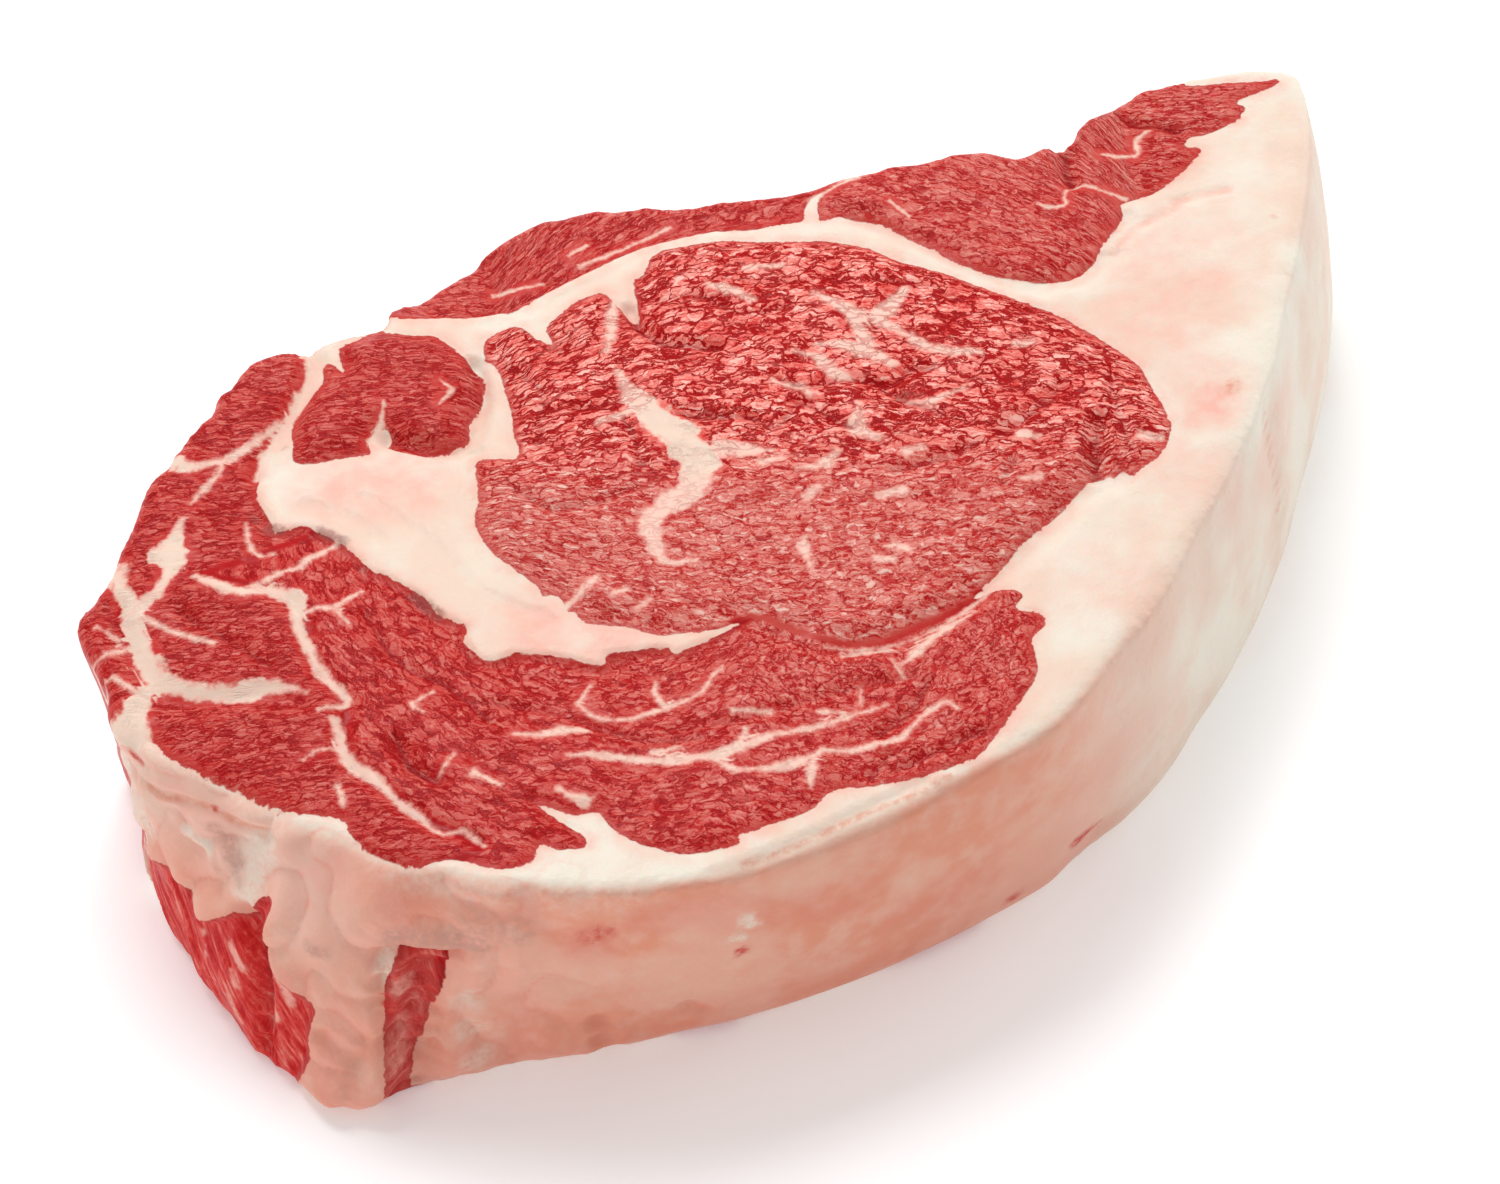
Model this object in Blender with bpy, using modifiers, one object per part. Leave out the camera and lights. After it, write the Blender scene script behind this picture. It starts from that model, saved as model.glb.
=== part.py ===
"""Raw boneless ribeye steak: one thick slice across the rib roast, as one closed solid.

Plan measures are in millimetres from a point inside the big round eye muscle, +X towards the
thin fat tail and +Y towards the side the rib bones were cut from. Heights are from the cutting
board. The finished solid is moved so that its origin lies under the middle of its box, and it
is given in metres.
"""

import bmesh
import bpy
import numpy as np
from mathutils import Vector, noise

NAME = "steak"
MM = 0.001

THICKNESS = 41.0  # 1.6 inches, a thick hand-cut steak
BOX_MIDDLE = (6.4, 8.4)  # the middle of the plan, from the point the plan is measured from
RIM_OUT = 1.1  # how far the wall stands outside the stations, which are on the cut face's edge
RIM_RADIUS = 2.0  # the cut edge at the top
FOOT_RADIUS = 3.2  # the edge that is pressed on the board
OUTLINE_STEP = 2.0  # between the points of the outline's curve

VOXEL = 1.6  # size of the cells that the slice is remeshed into before it is shaped
KEPT_FACES = 0.19  # share of the remeshed faces that the finished solid keeps

# The slice's outline at the top, from the tip of the tail round the back. Each station is
# x, y, how far the foot stands outside the rim, and how far the wall bellies out half way up.
STATIONS = [
    (111.2, 39.4, 4.0, 1.5),
    (108.6, 41.8, 2.5, 1.0),
    (103.0, 44.2, 1.0, 1.0),
    (97.0, 46.0, 0.0, 1.5),
    (89.0, 46.4, 0.0, 1.5),
    (79.0, 45.4, 0.0, 1.5),
    (72.5, 42.4, 0.0, 1.0),
    (64.0, 43.4, 0.0, 1.0),
    (59.5, 46.8, 0.0, 1.5),
    (51.0, 49.8, 0.5, 1.5),
    (43.0, 52.2, 1.0, 1.5),
    (31.0, 53.8, 1.0, 1.5),
    (20.0, 59.3, 0.8, 1.0),
    (10.0, 65.0, 0.8, 1.0),
    (2.0, 69.6, 0.8, 1.0),
    (-5.0, 71.6, 0.8, 1.0),
    (-11.5, 71.4, 0.8, 1.0),
    (-18.0, 68.8, 0.8, 1.0),
    (-29.0, 65.0, 1.0, 1.0),
    (-37.5, 59.6, 1.0, 1.0),
    (-46.0, 60.2, 1.0, 1.5),
    (-55.0, 62.0, 1.0, 1.5),
    (-64.0, 58.8, 1.0, 1.5),
    (-73.0, 52.6, 2.0, 1.0),
    (-80.0, 48.4, 1.5, 1.5),
    (-86.0, 42.4, 1.0, 1.0),
    (-90.5, 37.2, 0.5, 1.0),
    (-95.0, 33.4, 0.0, 0.5),
    (-101.0, 30.6, 0.0, 0.5),
    (-102.4, 24.0, -1.0, 0.5),
    (-102.8, 13.0, -0.5, 0.5),
    (-102.0, 4.5, 1.0, 0.5),
    (-97.4, -3.0, 6.8, 1.0),
    (-93.3, -10.0, 10.8, 1.5),
    (-89.5, -17.6, 14.0, 2.0),
    (-85.4, -24.5, 14.5, 2.0),
    (-81.4, -31.3, 11.0, 1.5),
    (-76.4, -36.1, 6.0, 1.0),
    (-71.5, -40.9, 1.5, 0.5),
    (-60.6, -48.5, -2.5, 0.5),
    (-50.9, -52.8, -4.5, 1.0),
    (-41.0, -55.3, -4.5, 1.0),
    (-25.0, -56.2, -3.5, 1.0),
    (-9.0, -55.8, -2.5, 1.0),
    (4.0, -54.8, -2.0, 1.0),
    (12.7, -51.7, 0.0, 1.0),
    (23.4, -45.6, 2.5, 1.0),
    (36.4, -37.6, 4.3, 1.5),
    (51.3, -28.0, 5.2, 1.5),
    (67.6, -15.3, 5.6, 1.5),
    (81.9, -0.3, 6.6, 1.5),
    (95.7, 14.6, 7.2, 1.5),
    (105.6, 27.4, 7.0, 1.5),
    (110.4, 36.4, 5.5, 1.5),
]

# The big round muscle in the middle of the slice.
EYE = [
    (-45, 12), (-38.8, 28.2), (-31.8, 30.5), (-28, 44), (-21, 50), (-10, 50.5), (-4.5, 44.5),
    (2, 52), (10, 52.8), (23.5, 45.8), (34.5, 36.3), (43.5, 23), (51.3, 8), (54.7, -3),
    (51.6, -16.2), (44, -20.7), (32, -20.5), (14, -27.6), (0, -31), (-12, -29), (-19.5, -19),
    (-30, -15), (-38.5, -8.5), (-43, 0.5),
]  # fmt: skip

# The cap muscles, which wrap round the eye from the left rim to the front.
CAP = [
    (-67, 41), (-70, 33), (-64.5, 26.5), (-58.5, 12), (-56, -3), (-42, -14.5), (-30, -18),
    (-19.5, -19), (-12, -29), (0, -31), (14.5, -31.5), (15, -38), (9.5, -46), (-3, -54),
    (-25, -50.3), (-43, -51.3), (-54.5, -41), (-59, -42), (-66, -40.5), (-79, -34), (-85, -23),
    (-93, -11), (-100, 3), (-106, 10), (-106, 34), (-92, 42), (-76, 54), (-62, 60), (-52, 56),
]  # fmt: skip

# The small dark muscle behind the eye, next to where the backbone was.
CHINE_MUSCLE = [
    (-46, 60), (-37, 60.5), (-31.5, 52), (-30.3, 42.5), (-38, 33), (-48, 37), (-61.5, 42),
    (-57.5, 50), (-50, 55),
]  # fmt: skip

# The rib meat and the tail of lean along the back right rim.
RIB_MEAT = [
    (30, 52), (38, 42), (43, 31), (49, 21.5), (57, 18), (65, 21.5), (71, 27), (83, 28.5),
    (89, 33), (101, 36.5), (108.5, 39), (100, 47), (80, 49), (60, 52), (40, 57),
]  # fmt: skip

# The edge of the fat over the finger meat: behind it the meat lies lower.
FAT_RIDGE = [(-37, 61), (-30, 58), (-23, 54.6), (-13, 54.6), (2, 56), (14, 54), (24, 50), (33, 47.5)]
FINGER_DROP = [(-36, 0.0), (-29, 4.2), (-18, 5.0), (0, 3.6), (15, 2.0), (31, 0.0)]  # x, depth

# The edge of the hard yellow fat kernel, which stands over the cap beside it.
KERNEL_EDGE = [
    (-67.5, 41), (-70, 34), (-64.5, 26.5), (-58.5, 12), (-56, -3), (-50, -8), (-42, -14.5),
    (-32, -18),
]  # fmt: skip
KERNEL_STEP = 1.8
KERNEL_FADE = 16.0

# Furrows in the top: seams of fat and folds of the lean. Each is width, depth, then its path.
TOP_FURROWS = [
    (3.0, 1.0, [(-19.5, -19), (-14, -28), (0, -31.5), (15, -28.5), (30, -22)]),
    (3.2, 1.2, [(-96, 30), (-97, 20), (-95.5, 10.5), (-86.5, 5), (-81, 0)]),
    (2.6, 0.8, [(-76, 21), (-73.5, 15), (-76, 6), (-75.5, -3)]),
    (2.6, 0.8, [(-75.5, -3), (-79.5, -12), (-76, -26), (-71, -34)]),
    (2.6, 1.0, [(-50, 59), (-57, 51), (-67, 42)]),
    (2.4, 1.6, [(-48, 39), (-40, 31.5), (-33, 38), (-30, 46)]),
    (2.2, 1.4, [(-4.5, 47), (-4.3, 37), (0.5, 32)]),
    (2.6, 1.0, [(-9, 22), (0, 15.5), (8.5, 12.5), (18, 13.5), (25, 12.5)]),
    (2.8, 1.8, [(38, -18), (40, -14), (43, -10.5)]),
    (2.4, 0.9, [(15.5, -4.5), (25, -5), (36, -3.5), (42, -1.5)]),
    (2.6, 1.0, [(-33, -37.4), (-20, -40), (-8, -42), (0, -38)]),
    (2.6, 1.0, [(-33, -42), (-17, -46.5), (-6, -44.8)]),
    (2.4, 1.2, [(-71, -22), (-73, -13)]),
    (2.6, 1.5, [(70.5, 44), (69, 38), (66.5, 34)]),
    (2.2, 1.0, [(83, 42), (86, 39.5), (89, 36)]),
    (3.0, 0.9, [(71, 23), (62, 18), (48, 20), (41, 34), (34, 46)]),
]
MUSCLES = [(EYE, 1.1, 5.0), (CAP, 0.5, 3.0), (CHINE_MUSCLE, 1.4, 4.0), (RIB_MEAT, 0.7, 4.0)]

LEFT_SLOPE = 3.0  # how much lower the top lies at the left rim
LEFT_SLOPE_FROM, LEFT_SLOPE_TO = -78.0, -106.0
LEAN_LUMPS = 0.45  # unevenness of cut lean
FAT_LUMPS = 0.15
RELIEF_REACH = 16.0  # how far down the wall the relief of the top dies away
FLAT_FOOT = 0.35  # what is this near the board lies flat on it

# Swellings of the wall: x, y, z, radius, and how far it stands out.
WALL_SWELLINGS = [
    (-93.0, -35.0, 9.0, 11.0, 2.5),  # the lobe of fat at the front left foot
    (-99.0, -12.0, 12.0, 12.0, 1.5),
    (-73.0, -40.0, 32.0, 10.0, 1.5),  # the flap over the pocket
    (-20.0, -56.0, 20.0, 26.0, 1.0),
    (96.0, 8.0, 18.0, 20.0, 0.6),
    (-8.0, 72.0, 16.0, 22.0, 0.6),
    (-52.0, 62.0, 20.0, 16.0, 1.2),
    (88.0, 47.0, 20.0, 18.0, 1.0),
]
# Furrows in the wall, and one ridge: width, depth, then a path in space.
WALL_FURROWS = [
    (4.8, 5.5, [(-80.8, -37.5, 24), (-82.5, -38.5, 14), (-85.5, -40, 5)]),  # a pocket under a flap
    (2.6, 2.5, [(-85.7, -34.5, 26), (-87.3, -37.1, 16), (-88.8, -39.5, 3)]),
    (3.4, 2.6, [(-98.0, -16.5, 24), (-99.5, -19.3, 14), (-100.2, -20.5, 4)]),
    (3.0, 1.8, [(-60.5, -46.7, 11), (-58.8, -46.8, 2)]),
    (3.0, 1.2, [(16.0, -50.5, 0), (19, -50.0, 6)]),
    (3.2, 0.8, [(66.9, -14.3, 40), (66.8, -18.5, 34), (68, -20.4, 25), (70, -20.7, 15)]),
    (5.0, -1.0, [(32.1, -41.0, 40), (30.8, -43.5, 29), (30.4, -45.6, 18), (32, -45.5, 4)]),
    (3.2, 1.6, [(-37.5, 60.0, 38), (-36.5, 61.5, 22), (-38, 62, 4)]),
    (3.4, 1.6, [(72.0, 43.0, 38), (70.5, 43.5, 20), (71.0, 43.5, 4)]),
    (3.0, 1.2, [(-75.5, 51.5, 36), (-78, 51.0, 20), (-76.0, 52.0, 5)]),
]


def curve_through(points, closed):
    """A smooth curve through the points, as Catmull-Rom stretches, each in short steps."""
    p = np.array(points, float)
    if closed:
        before, after, beyond = np.roll(p, 1, 0), np.roll(p, -1, 0), np.roll(p, -2, 0)
        starts = p
    else:
        ends = np.vstack([2 * p[0] - p[1], p, 2 * p[-1] - p[-2]])
        before, starts, after, beyond = ends[:-3], ends[1:-2], ends[2:-1], ends[3:]
    stretches = []
    for a, b, c, d in zip(before, starts, after, beyond):
        count = max(1, round(float(np.linalg.norm((c - b)[:2])) / OUTLINE_STEP))
        t = (np.arange(count) / count)[:, None]
        stretches.append(
            b + 0.5 * t * ((c - a) + t * (2 * a - 5 * b + 4 * c - d + t * (3 * b - a - 3 * c + d)))
        )
    if not closed:
        stretches.append(p[-1:])
    return np.vstack(stretches)


def path_distance(points, path, closed=False):
    """How far each point is from a path of straight pieces."""
    starts = np.array(path, float)
    ends = np.roll(starts, -1, 0) if closed else starts[1:]
    nearest = np.full(len(points), np.inf)
    for a, b in zip(starts, ends):
        along = b - a
        t = np.clip((points - a) @ along / (along @ along), 0.0, 1.0)
        nearest = np.minimum(nearest, np.linalg.norm(points - a - t[:, None] * along, axis=1))
    return nearest


def inside_distance(points, outline):
    """How far each point is inside a closed outline, and below zero outside it."""
    loop = curve_through(outline, closed=True)
    inside = np.zeros(len(points), bool)
    for (ax, ay), (bx, by) in zip(loop, np.roll(loop, -1, 0)):
        if ay == by:
            continue
        crosses = (points[:, 1] > ay) != (points[:, 1] > by)
        inside ^= crosses & (points[:, 0] < ax + (points[:, 1] - ay) * (bx - ax) / (by - ay))
    return np.where(inside, 1.0, -1.0) * path_distance(points, loop, closed=True)


def ease(value, start, end):
    """0 at start, 1 at end, with a smooth way between."""
    t = np.clip((value - start) / (end - start), 0.0, 1.0)
    return t * t * (3.0 - 2.0 * t)


def lumps(points, size):
    """Smooth unevenness between -1 and 1, with lumps of about the given size."""
    return np.array([noise.noise(Vector(p) / size) for p in points])


def slice_body():
    """The bare slice: the outline lofted from the board to the cut top, then remeshed."""
    stations = curve_through(STATIONS, closed=True)
    rim = stations[:, :2]
    tangent = np.roll(rim, -3, 0) - np.roll(rim, 3, 0)
    outward = np.stack([tangent[:, 1], -tangent[:, 0]], 1)
    outward /= np.linalg.norm(outward, axis=1, keepdims=True)

    def ring(z):
        up = z / THICKNESS
        out = RIM_OUT + stations[:, 2] * (1.0 - up) + stations[:, 3] * 4.0 * up * (1.0 - up)
        for radius, edge in ((FOOT_RADIUS, z), (RIM_RADIUS, THICKNESS - z)):
            into = max(0.0, 1.0 - edge / radius)
            out = out - radius * (1.0 - (1.0 - into * into) ** 0.5)
        plan = rim + outward * out[:, None]
        return np.column_stack([plan, np.full(len(plan), z)])

    levels = (0.0, 0.3, 1.2, FOOT_RADIUS, 12.0, 22.0, 32.0)
    levels += (THICKNESS - RIM_RADIUS, THICKNESS - 0.9, THICKNESS - 0.25, THICKNESS)
    bm = bmesh.new()
    hoops = []
    for z in levels:
        verts = [bm.verts.new(p) for p in ring(z)]
        hoops.append([bm.edges.new(pair) for pair in zip(verts, verts[1:] + verts[:1])])
    for lower, upper in zip(hoops, hoops[1:]):
        bmesh.ops.bridge_loops(bm, edges=lower + upper)
    for end in (hoops[0], hoops[-1]):
        bmesh.ops.contextual_create(bm, geom=end)
    bmesh.ops.recalc_face_normals(bm, faces=bm.faces)
    return bm


def remeshed(bm, size):
    """The body as an even mesh of small faces."""
    rough = bpy.data.objects.new("rough_slice", bpy.data.meshes.new("rough_slice"))
    bm.to_mesh(rough.data)
    bm.free()
    bpy.context.scene.collection.objects.link(rough)
    remesh = rough.modifiers.new("even_faces", "REMESH")
    remesh.mode = "VOXEL"
    remesh.voxel_size = size
    mesh = bpy.data.meshes.new_from_object(
        rough.evaluated_get(bpy.context.evaluated_depsgraph_get())
    )
    bpy.data.objects.remove(rough)
    return mesh


def top_relief(points):
    """How far the cut top rises or falls at each plan point."""
    plan = points[:, :2]
    rise = np.zeros(len(points))
    for outline, height, shoulder in MUSCLES:
        rise += height * ease(inside_distance(plan, outline), 0.0, shoulder)
    cap = inside_distance(plan, CAP)
    from_kernel = path_distance(plan, curve_through(KERNEL_EDGE, closed=False))
    rise -= KERNEL_STEP * (1.0 - ease(from_kernel, 0.0, KERNEL_FADE)) * ease(cap, -0.4, 1.6)

    ridge = curve_through(FAT_RIDGE, closed=False)
    where, depth = np.array(FINGER_DROP).T
    behind = plan[:, 1] - np.interp(plan[:, 0], ridge[:, 0], ridge[:, 1])
    within = (plan[:, 0] > ridge[0, 0]) & (plan[:, 0] < ridge[-1, 0])
    rise -= np.where(within, np.interp(plan[:, 0], where, depth) * ease(behind, -0.5, 3.5), 0.0)

    for width, depth, path in TOP_FURROWS:
        across = path_distance(plan, curve_through(path, closed=False)) / width
        rise -= depth * np.clip(1.0 - across**2, 0.0, None) ** 2
    rise -= LEFT_SLOPE * ease(-plan[:, 0], -LEFT_SLOPE_FROM, -LEFT_SLOPE_TO)

    lean = np.clip(np.max([inside_distance(plan, m[0]) for m in MUSCLES], axis=0), 0.0, 2.0) / 2.0
    rise += (FAT_LUMPS + (LEAN_LUMPS - FAT_LUMPS) * lean) * lumps(points, 6.0)
    return rise


def wall_relief(points):
    """How far the wall stands out or in at each point."""
    out = np.zeros(len(points))
    for x, y, z, radius, height in WALL_SWELLINGS:
        away = np.linalg.norm(points - (x, y, z), axis=1) / radius
        out += height * np.clip(1.0 - away**2, 0.0, None)
    for width, depth, path in WALL_FURROWS:
        across = path_distance(points, path) / width
        out -= depth * np.clip(1.0 - across**2, 0.0, None) ** 2
    return out + FAT_LUMPS * lumps(points, 9.0)


def shape_slice(mesh):
    """Presses the relief of muscles, seams and fat into the even slice."""
    points = np.array([v.co for v in mesh.vertices])
    normals = np.array([v.normal for v in mesh.vertices])
    sideways = normals * (1.0, 1.0, 0.0)
    wallness = np.linalg.norm(sideways, axis=1)
    up = ease(points[:, 2], THICKNESS - RELIEF_REACH, THICKNESS)
    shaped = points + sideways * (wallness * wall_relief(points))[:, None]
    shaped[:, 2] += up * top_relief(points)
    shaped[:, 2] = np.where(points[:, 2] < FLAT_FOOT, 0.0, np.maximum(shaped[:, 2], 0.0))
    shaped[:, :2] -= BOX_MIDDLE
    mesh.vertices.foreach_set("co", (shaped * MM).ravel())
    mesh.update()


def raw_beef():
    """Wet raw beef: red lean with cream fat, taken together as one colour."""
    material = bpy.data.materials.new("raw_beef")
    material.use_nodes = True
    surface = material.node_tree.nodes["Principled BSDF"]
    surface.inputs["Base Color"].default_value = (0.52, 0.13, 0.11, 1.0)
    surface.inputs["Roughness"].default_value = 0.35
    surface.inputs["Metallic"].default_value = 0.0
    return material


def build():
    for old in list(bpy.data.objects):
        bpy.data.objects.remove(old)
    collection = bpy.data.collections.new("raw_ribeye_steak")
    bpy.context.scene.collection.children.link(collection)

    mesh = remeshed(slice_body(), VOXEL)
    shape_slice(mesh)
    mesh.materials.append(raw_beef())
    mesh.name = NAME
    steak = bpy.data.objects.new(NAME, mesh)
    collection.objects.link(steak)
    thinned = steak.modifiers.new("fewer_faces", "DECIMATE")
    thinned.ratio = KEPT_FACES
    thinned.use_collapse_triangulate = True


build()
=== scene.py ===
import bmesh
import bpy
import numpy as np
from mathutils import Matrix, Vector, noise
from mathutils.kdtree import KDTree


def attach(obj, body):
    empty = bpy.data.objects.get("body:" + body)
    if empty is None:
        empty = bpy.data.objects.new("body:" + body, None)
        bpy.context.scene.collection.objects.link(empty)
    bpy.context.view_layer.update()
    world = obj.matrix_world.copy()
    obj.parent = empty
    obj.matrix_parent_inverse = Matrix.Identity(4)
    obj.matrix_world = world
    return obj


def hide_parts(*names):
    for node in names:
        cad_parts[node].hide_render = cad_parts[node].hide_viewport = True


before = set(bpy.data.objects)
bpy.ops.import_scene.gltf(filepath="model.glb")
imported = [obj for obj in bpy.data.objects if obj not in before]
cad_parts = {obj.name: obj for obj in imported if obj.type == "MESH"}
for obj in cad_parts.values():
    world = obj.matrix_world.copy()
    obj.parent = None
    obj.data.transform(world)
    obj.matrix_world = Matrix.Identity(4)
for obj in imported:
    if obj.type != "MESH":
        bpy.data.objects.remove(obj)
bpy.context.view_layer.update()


# ---- The slice -----------------------------------------------------------------------------------
# One thick slice cut by hand across a boneless rib roast, lying on its lower cut face. Its wall
# is the trimmed outside of the roast: hard fat at the front and right, bare lean at the back.
# Plan measures are in millimetres from a point inside the eye muscle, heights from the underside.

MM = 0.001
THICKNESS = 41.0
BOX_MIDDLE = (6.4, 8.4)  # the plan point that lies at the frame's origin
RIM_OUT = 1.1  # how far the rim stands outside its stations
RIM_RADIUS = 1.2
FOOT_RADIUS = 3.0
OUTLINE_STEP = 1.2  # between the points of the outline
CELL = 1.25  # the even faces that the slice is remeshed into
FLAT_FOOT = 0.3  # up to here the slice lies flat

# x, y, how far the foot stands outside the rim, and how far the wall bellies out half way up
STATIONS = [
    (111.2, 39.4, 4, 1.5), (108.6, 41.8, 2.5, 1), (106, 43.2, 1.5, 1), (103, 44, 1, 1),
    (99.5, 45, 0.5, 1.2), (97, 46, 0, 1.5), (92.5, 45.8, 0, 1.5), (89, 46.6, 0, 1.5),
    (84, 45.5, 0, 1.5), (79, 45.3, 0, 1.5), (75.5, 44.4, 0, 1.2), (72.3, 41.8, 0, 1),
    (69, 43.2, 0, 1), (64, 43, 0, 1), (62, 44.2, 0, 1.2), (59.5, 46.8, 0, 1.5),
    (55, 49, 0.3, 1.5), (50.5, 49.3, 0.5, 1.5), (46, 51.4, 0.8, 1.5), (42, 51.8, 1, 1.5),
    (37, 53.4, 1, 1.5), (31, 53.8, 1, 1.5), (25, 56.3, 1, 1.2), (20, 59.3, 0.8, 1),
    (15, 61.4, 0.8, 1), (10, 65, 0.8, 1), (6, 67, 0.8, 1), (2, 69.8, 0.8, 1),
    (-2, 70.7, 0.8, 1), (-5, 71.8, 0.8, 1), (-11.5, 71.4, 0.8, 1), (-15, 70.6, 0.8, 1),
    (-18, 68.4, 0.8, 1), (-23, 67.2, 0.8, 1), (-29, 65.2, 1, 1), (-34, 63, 1, 1),
    (-38, 59.2, 1, 1), (-41, 59.8, 1, 1), (-46, 60.4, 1, 1.5), (-51, 60.3, 1, 1.5),
    (-54, 61.9, 1, 1.5), (-59, 61.3, 1, 1.5), (-62.5, 58.9, 1, 1.2), (-65, 58.2, 1, 1.2),
    (-67, 55.5, 1, 1), (-71, 53.6, 1, 1), (-75, 50.8, 1, 1), (-77.3, 48.6, 1.2, 1),
    (-79.5, 48.5, 1.5, 1.2), (-83, 45.2, 1.5, 1.2), (-86.5, 41.2, 1, 1), (-90, 38, 0.5, 1),
    (-92, 35.4, 0.3, 0.8), (-95, 33.4, 0, 0.5), (-97.5, 32.2, -1, 0.3), (-100.2, 30.9, -4, -0.6),
    (-101.3, 26.5, -4, -0.6), (-101.4, 21, -3.6, -0.5), (-102.4, 13, -1.8, 0),
    (-102, 4.5, 1, 0.5), (-97.4, -3, 6.8, 1), (-93.3, -10, 10.8, 1.5),
    (-89.5, -17.6, 14, 2), (-85.4, -24.5, 14.5, 2), (-81.4, -31.3, 11, 1.5),
    (-76.4, -36.1, 6, 1), (-71.5, -40.9, 1.5, 0.5), (-60.6, -48.5, -2.5, 0.5),
    (-50.9, -52.8, -4.5, 1), (-41, -55.3, -4.5, 1), (-25, -56.2, -3.5, 1),
    (-9, -55.8, -2.5, 1), (4, -54.8, -2, 1), (12.7, -51.7, 0, 1), (23.4, -45.6, 2.5, 1),
    (36.4, -37.6, 4.3, 1.5), (51.3, -28, 5.2, 1.5), (67.6, -15.3, 5.6, 1.5), (81.9, -0.3, 6.6, 1.5),
    (95.7, 14.6, 7.2, 1.5), (105.6, 27.4, 7, 1.5), (110.4, 36.4, 5.5, 1.5),
]


def curve_through(points, closed, step=OUTLINE_STEP):
    """A smooth curve through the points, as Catmull-Rom stretches, each in short steps."""
    p = np.array(points, float)
    if closed:
        before, starts, after, beyond = np.roll(p, 1, 0), p, np.roll(p, -1, 0), np.roll(p, -2, 0)
    else:
        ends = np.vstack([2 * p[0] - p[1], p, 2 * p[-1] - p[-2]])
        before, starts, after, beyond = ends[:-3], ends[1:-2], ends[2:-1], ends[3:]
    stretches = []
    for a, b, c, d in zip(before, starts, after, beyond):
        count = max(1, round(float(np.linalg.norm((c - b)[:2])) / step))
        t = (np.arange(count) / count)[:, None]
        bend = (c - a) + t * (2 * a - 5 * b + 4 * c - d + t * (3 * b - a - 3 * c + d))
        stretches.append(b + 0.5 * t * bend)
    if not closed:
        stretches.append(p[-1:])
    return np.vstack(stretches)


def outward_of(loop, reach):
    """The way out of a closed loop at each of its points, square to its run a few points each way."""
    tangent = np.roll(loop, -reach, 0) - np.roll(loop, reach, 0)
    outward = np.stack([tangent[:, 1], -tangent[:, 0]], 1)
    return outward / np.linalg.norm(outward, axis=1, keepdims=True)


def wall_ring(z):
    """The slice's outline at one height: the wall leans and bellies, and its edges are round."""
    stations = curve_through(STATIONS, closed=True)
    rim = stations[:, :2]
    up = z / THICKNESS
    out = RIM_OUT + stations[:, 2] * (1.0 - up) + stations[:, 3] * 4.0 * up * (1.0 - up)
    for radius, edge in ((FOOT_RADIUS, z), (RIM_RADIUS, THICKNESS - z)):
        into = max(0.0, 1.0 - edge / radius)
        out = out - radius * (1.0 - (1.0 - into * into) ** 0.5)
    return np.column_stack([rim + outward_of(rim, 4) * out[:, None], np.full(len(rim), z)])


# The rings that the wall is built through, closer together where its edges are round.
levels = (0.0, 0.3, 1.2, FOOT_RADIUS, 12.0, 22.0, 32.0)
levels += (THICKNESS - RIM_RADIUS, THICKNESS - 0.9, THICKNESS - 0.25, THICKNESS)
body = bmesh.new()
hoops = []
for z in levels:
    verts = [body.verts.new(p) for p in wall_ring(z)]
    hoops.append([body.edges.new(pair) for pair in zip(verts, verts[1:] + verts[:1])])
for lower, upper in zip(hoops, hoops[1:]):
    bmesh.ops.bridge_loops(body, edges=lower + upper)
for end in (hoops[0], hoops[-1]):
    bmesh.ops.contextual_create(body, geom=end)
bmesh.ops.recalc_face_normals(body, faces=body.faces)

rough = bpy.data.objects.new("rough_slice", bpy.data.meshes.new("rough_slice"))
body.to_mesh(rough.data)
body.free()
bpy.context.scene.collection.objects.link(rough)
remesh = rough.modifiers.new("even_faces", "REMESH")
remesh.mode = "VOXEL"
remesh.voxel_size = CELL
even = rough.evaluated_get(bpy.context.evaluated_depsgraph_get()).to_mesh()

# The cut face and the torn wall at the front left get faces half that size.
FINE_DEPTH = 4.5  # below the cut face
CORNER_BACK = 18.0  # the torn wall lies in front of this y,
CORNER_LEFT = -94.0  # and left of this x,
CORNER_RIGHT, CORNER_SUM = -56.0, -96.0  # or left of this x with x + y below this sum
LOWEST_FINE = 1.0

fine = bmesh.new()
fine.from_mesh(even)
bpy.data.objects.remove(rough)


def needs_fine_faces(place):
    on_top = place.z > THICKNESS - FINE_DEPTH
    in_front = place.x < CORNER_RIGHT and place.x + place.y < CORNER_SUM
    corner = place.y < CORNER_BACK and (place.x < CORNER_LEFT or in_front)
    return on_top or (corner and place.z > LOWEST_FINE)


chosen = [e for e in fine.edges if all(needs_fine_faces(v.co) for v in e.verts)]
bmesh.ops.subdivide_edges(fine, edges=chosen, cuts=1, use_grid_fill=True)
off_foot = [v for v in fine.verts if v.co.z > FLAT_FOOT]
for _ in range(2):
    bmesh.ops.smooth_vert(fine, verts=off_foot, factor=0.5,
                          use_axis_x=True, use_axis_y=True, use_axis_z=True)
bmesh.ops.triangulate(fine, faces=fine.faces, quad_method="BEAUTY", ngon_method="BEAUTY")
steak_mesh = bpy.data.meshes.new("ribeye_steak")
fine.to_mesh(steak_mesh)
fine.free()

points = np.array([v.co for v in steak_mesh.vertices])
normals = np.array([v.normal for v in steak_mesh.vertices])
plan = points[:, :2]


# ---- The muscles ---------------------------------------------------------------------------------
# Beef lean: the big round eye, the cap muscles that wrap round its left and front, the chine
# muscle behind it, the finger meat where the ribs were, and the rib meat that runs out into the
# tail. They run through the slice from face to face. Each is an outline on the cut face.

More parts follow.
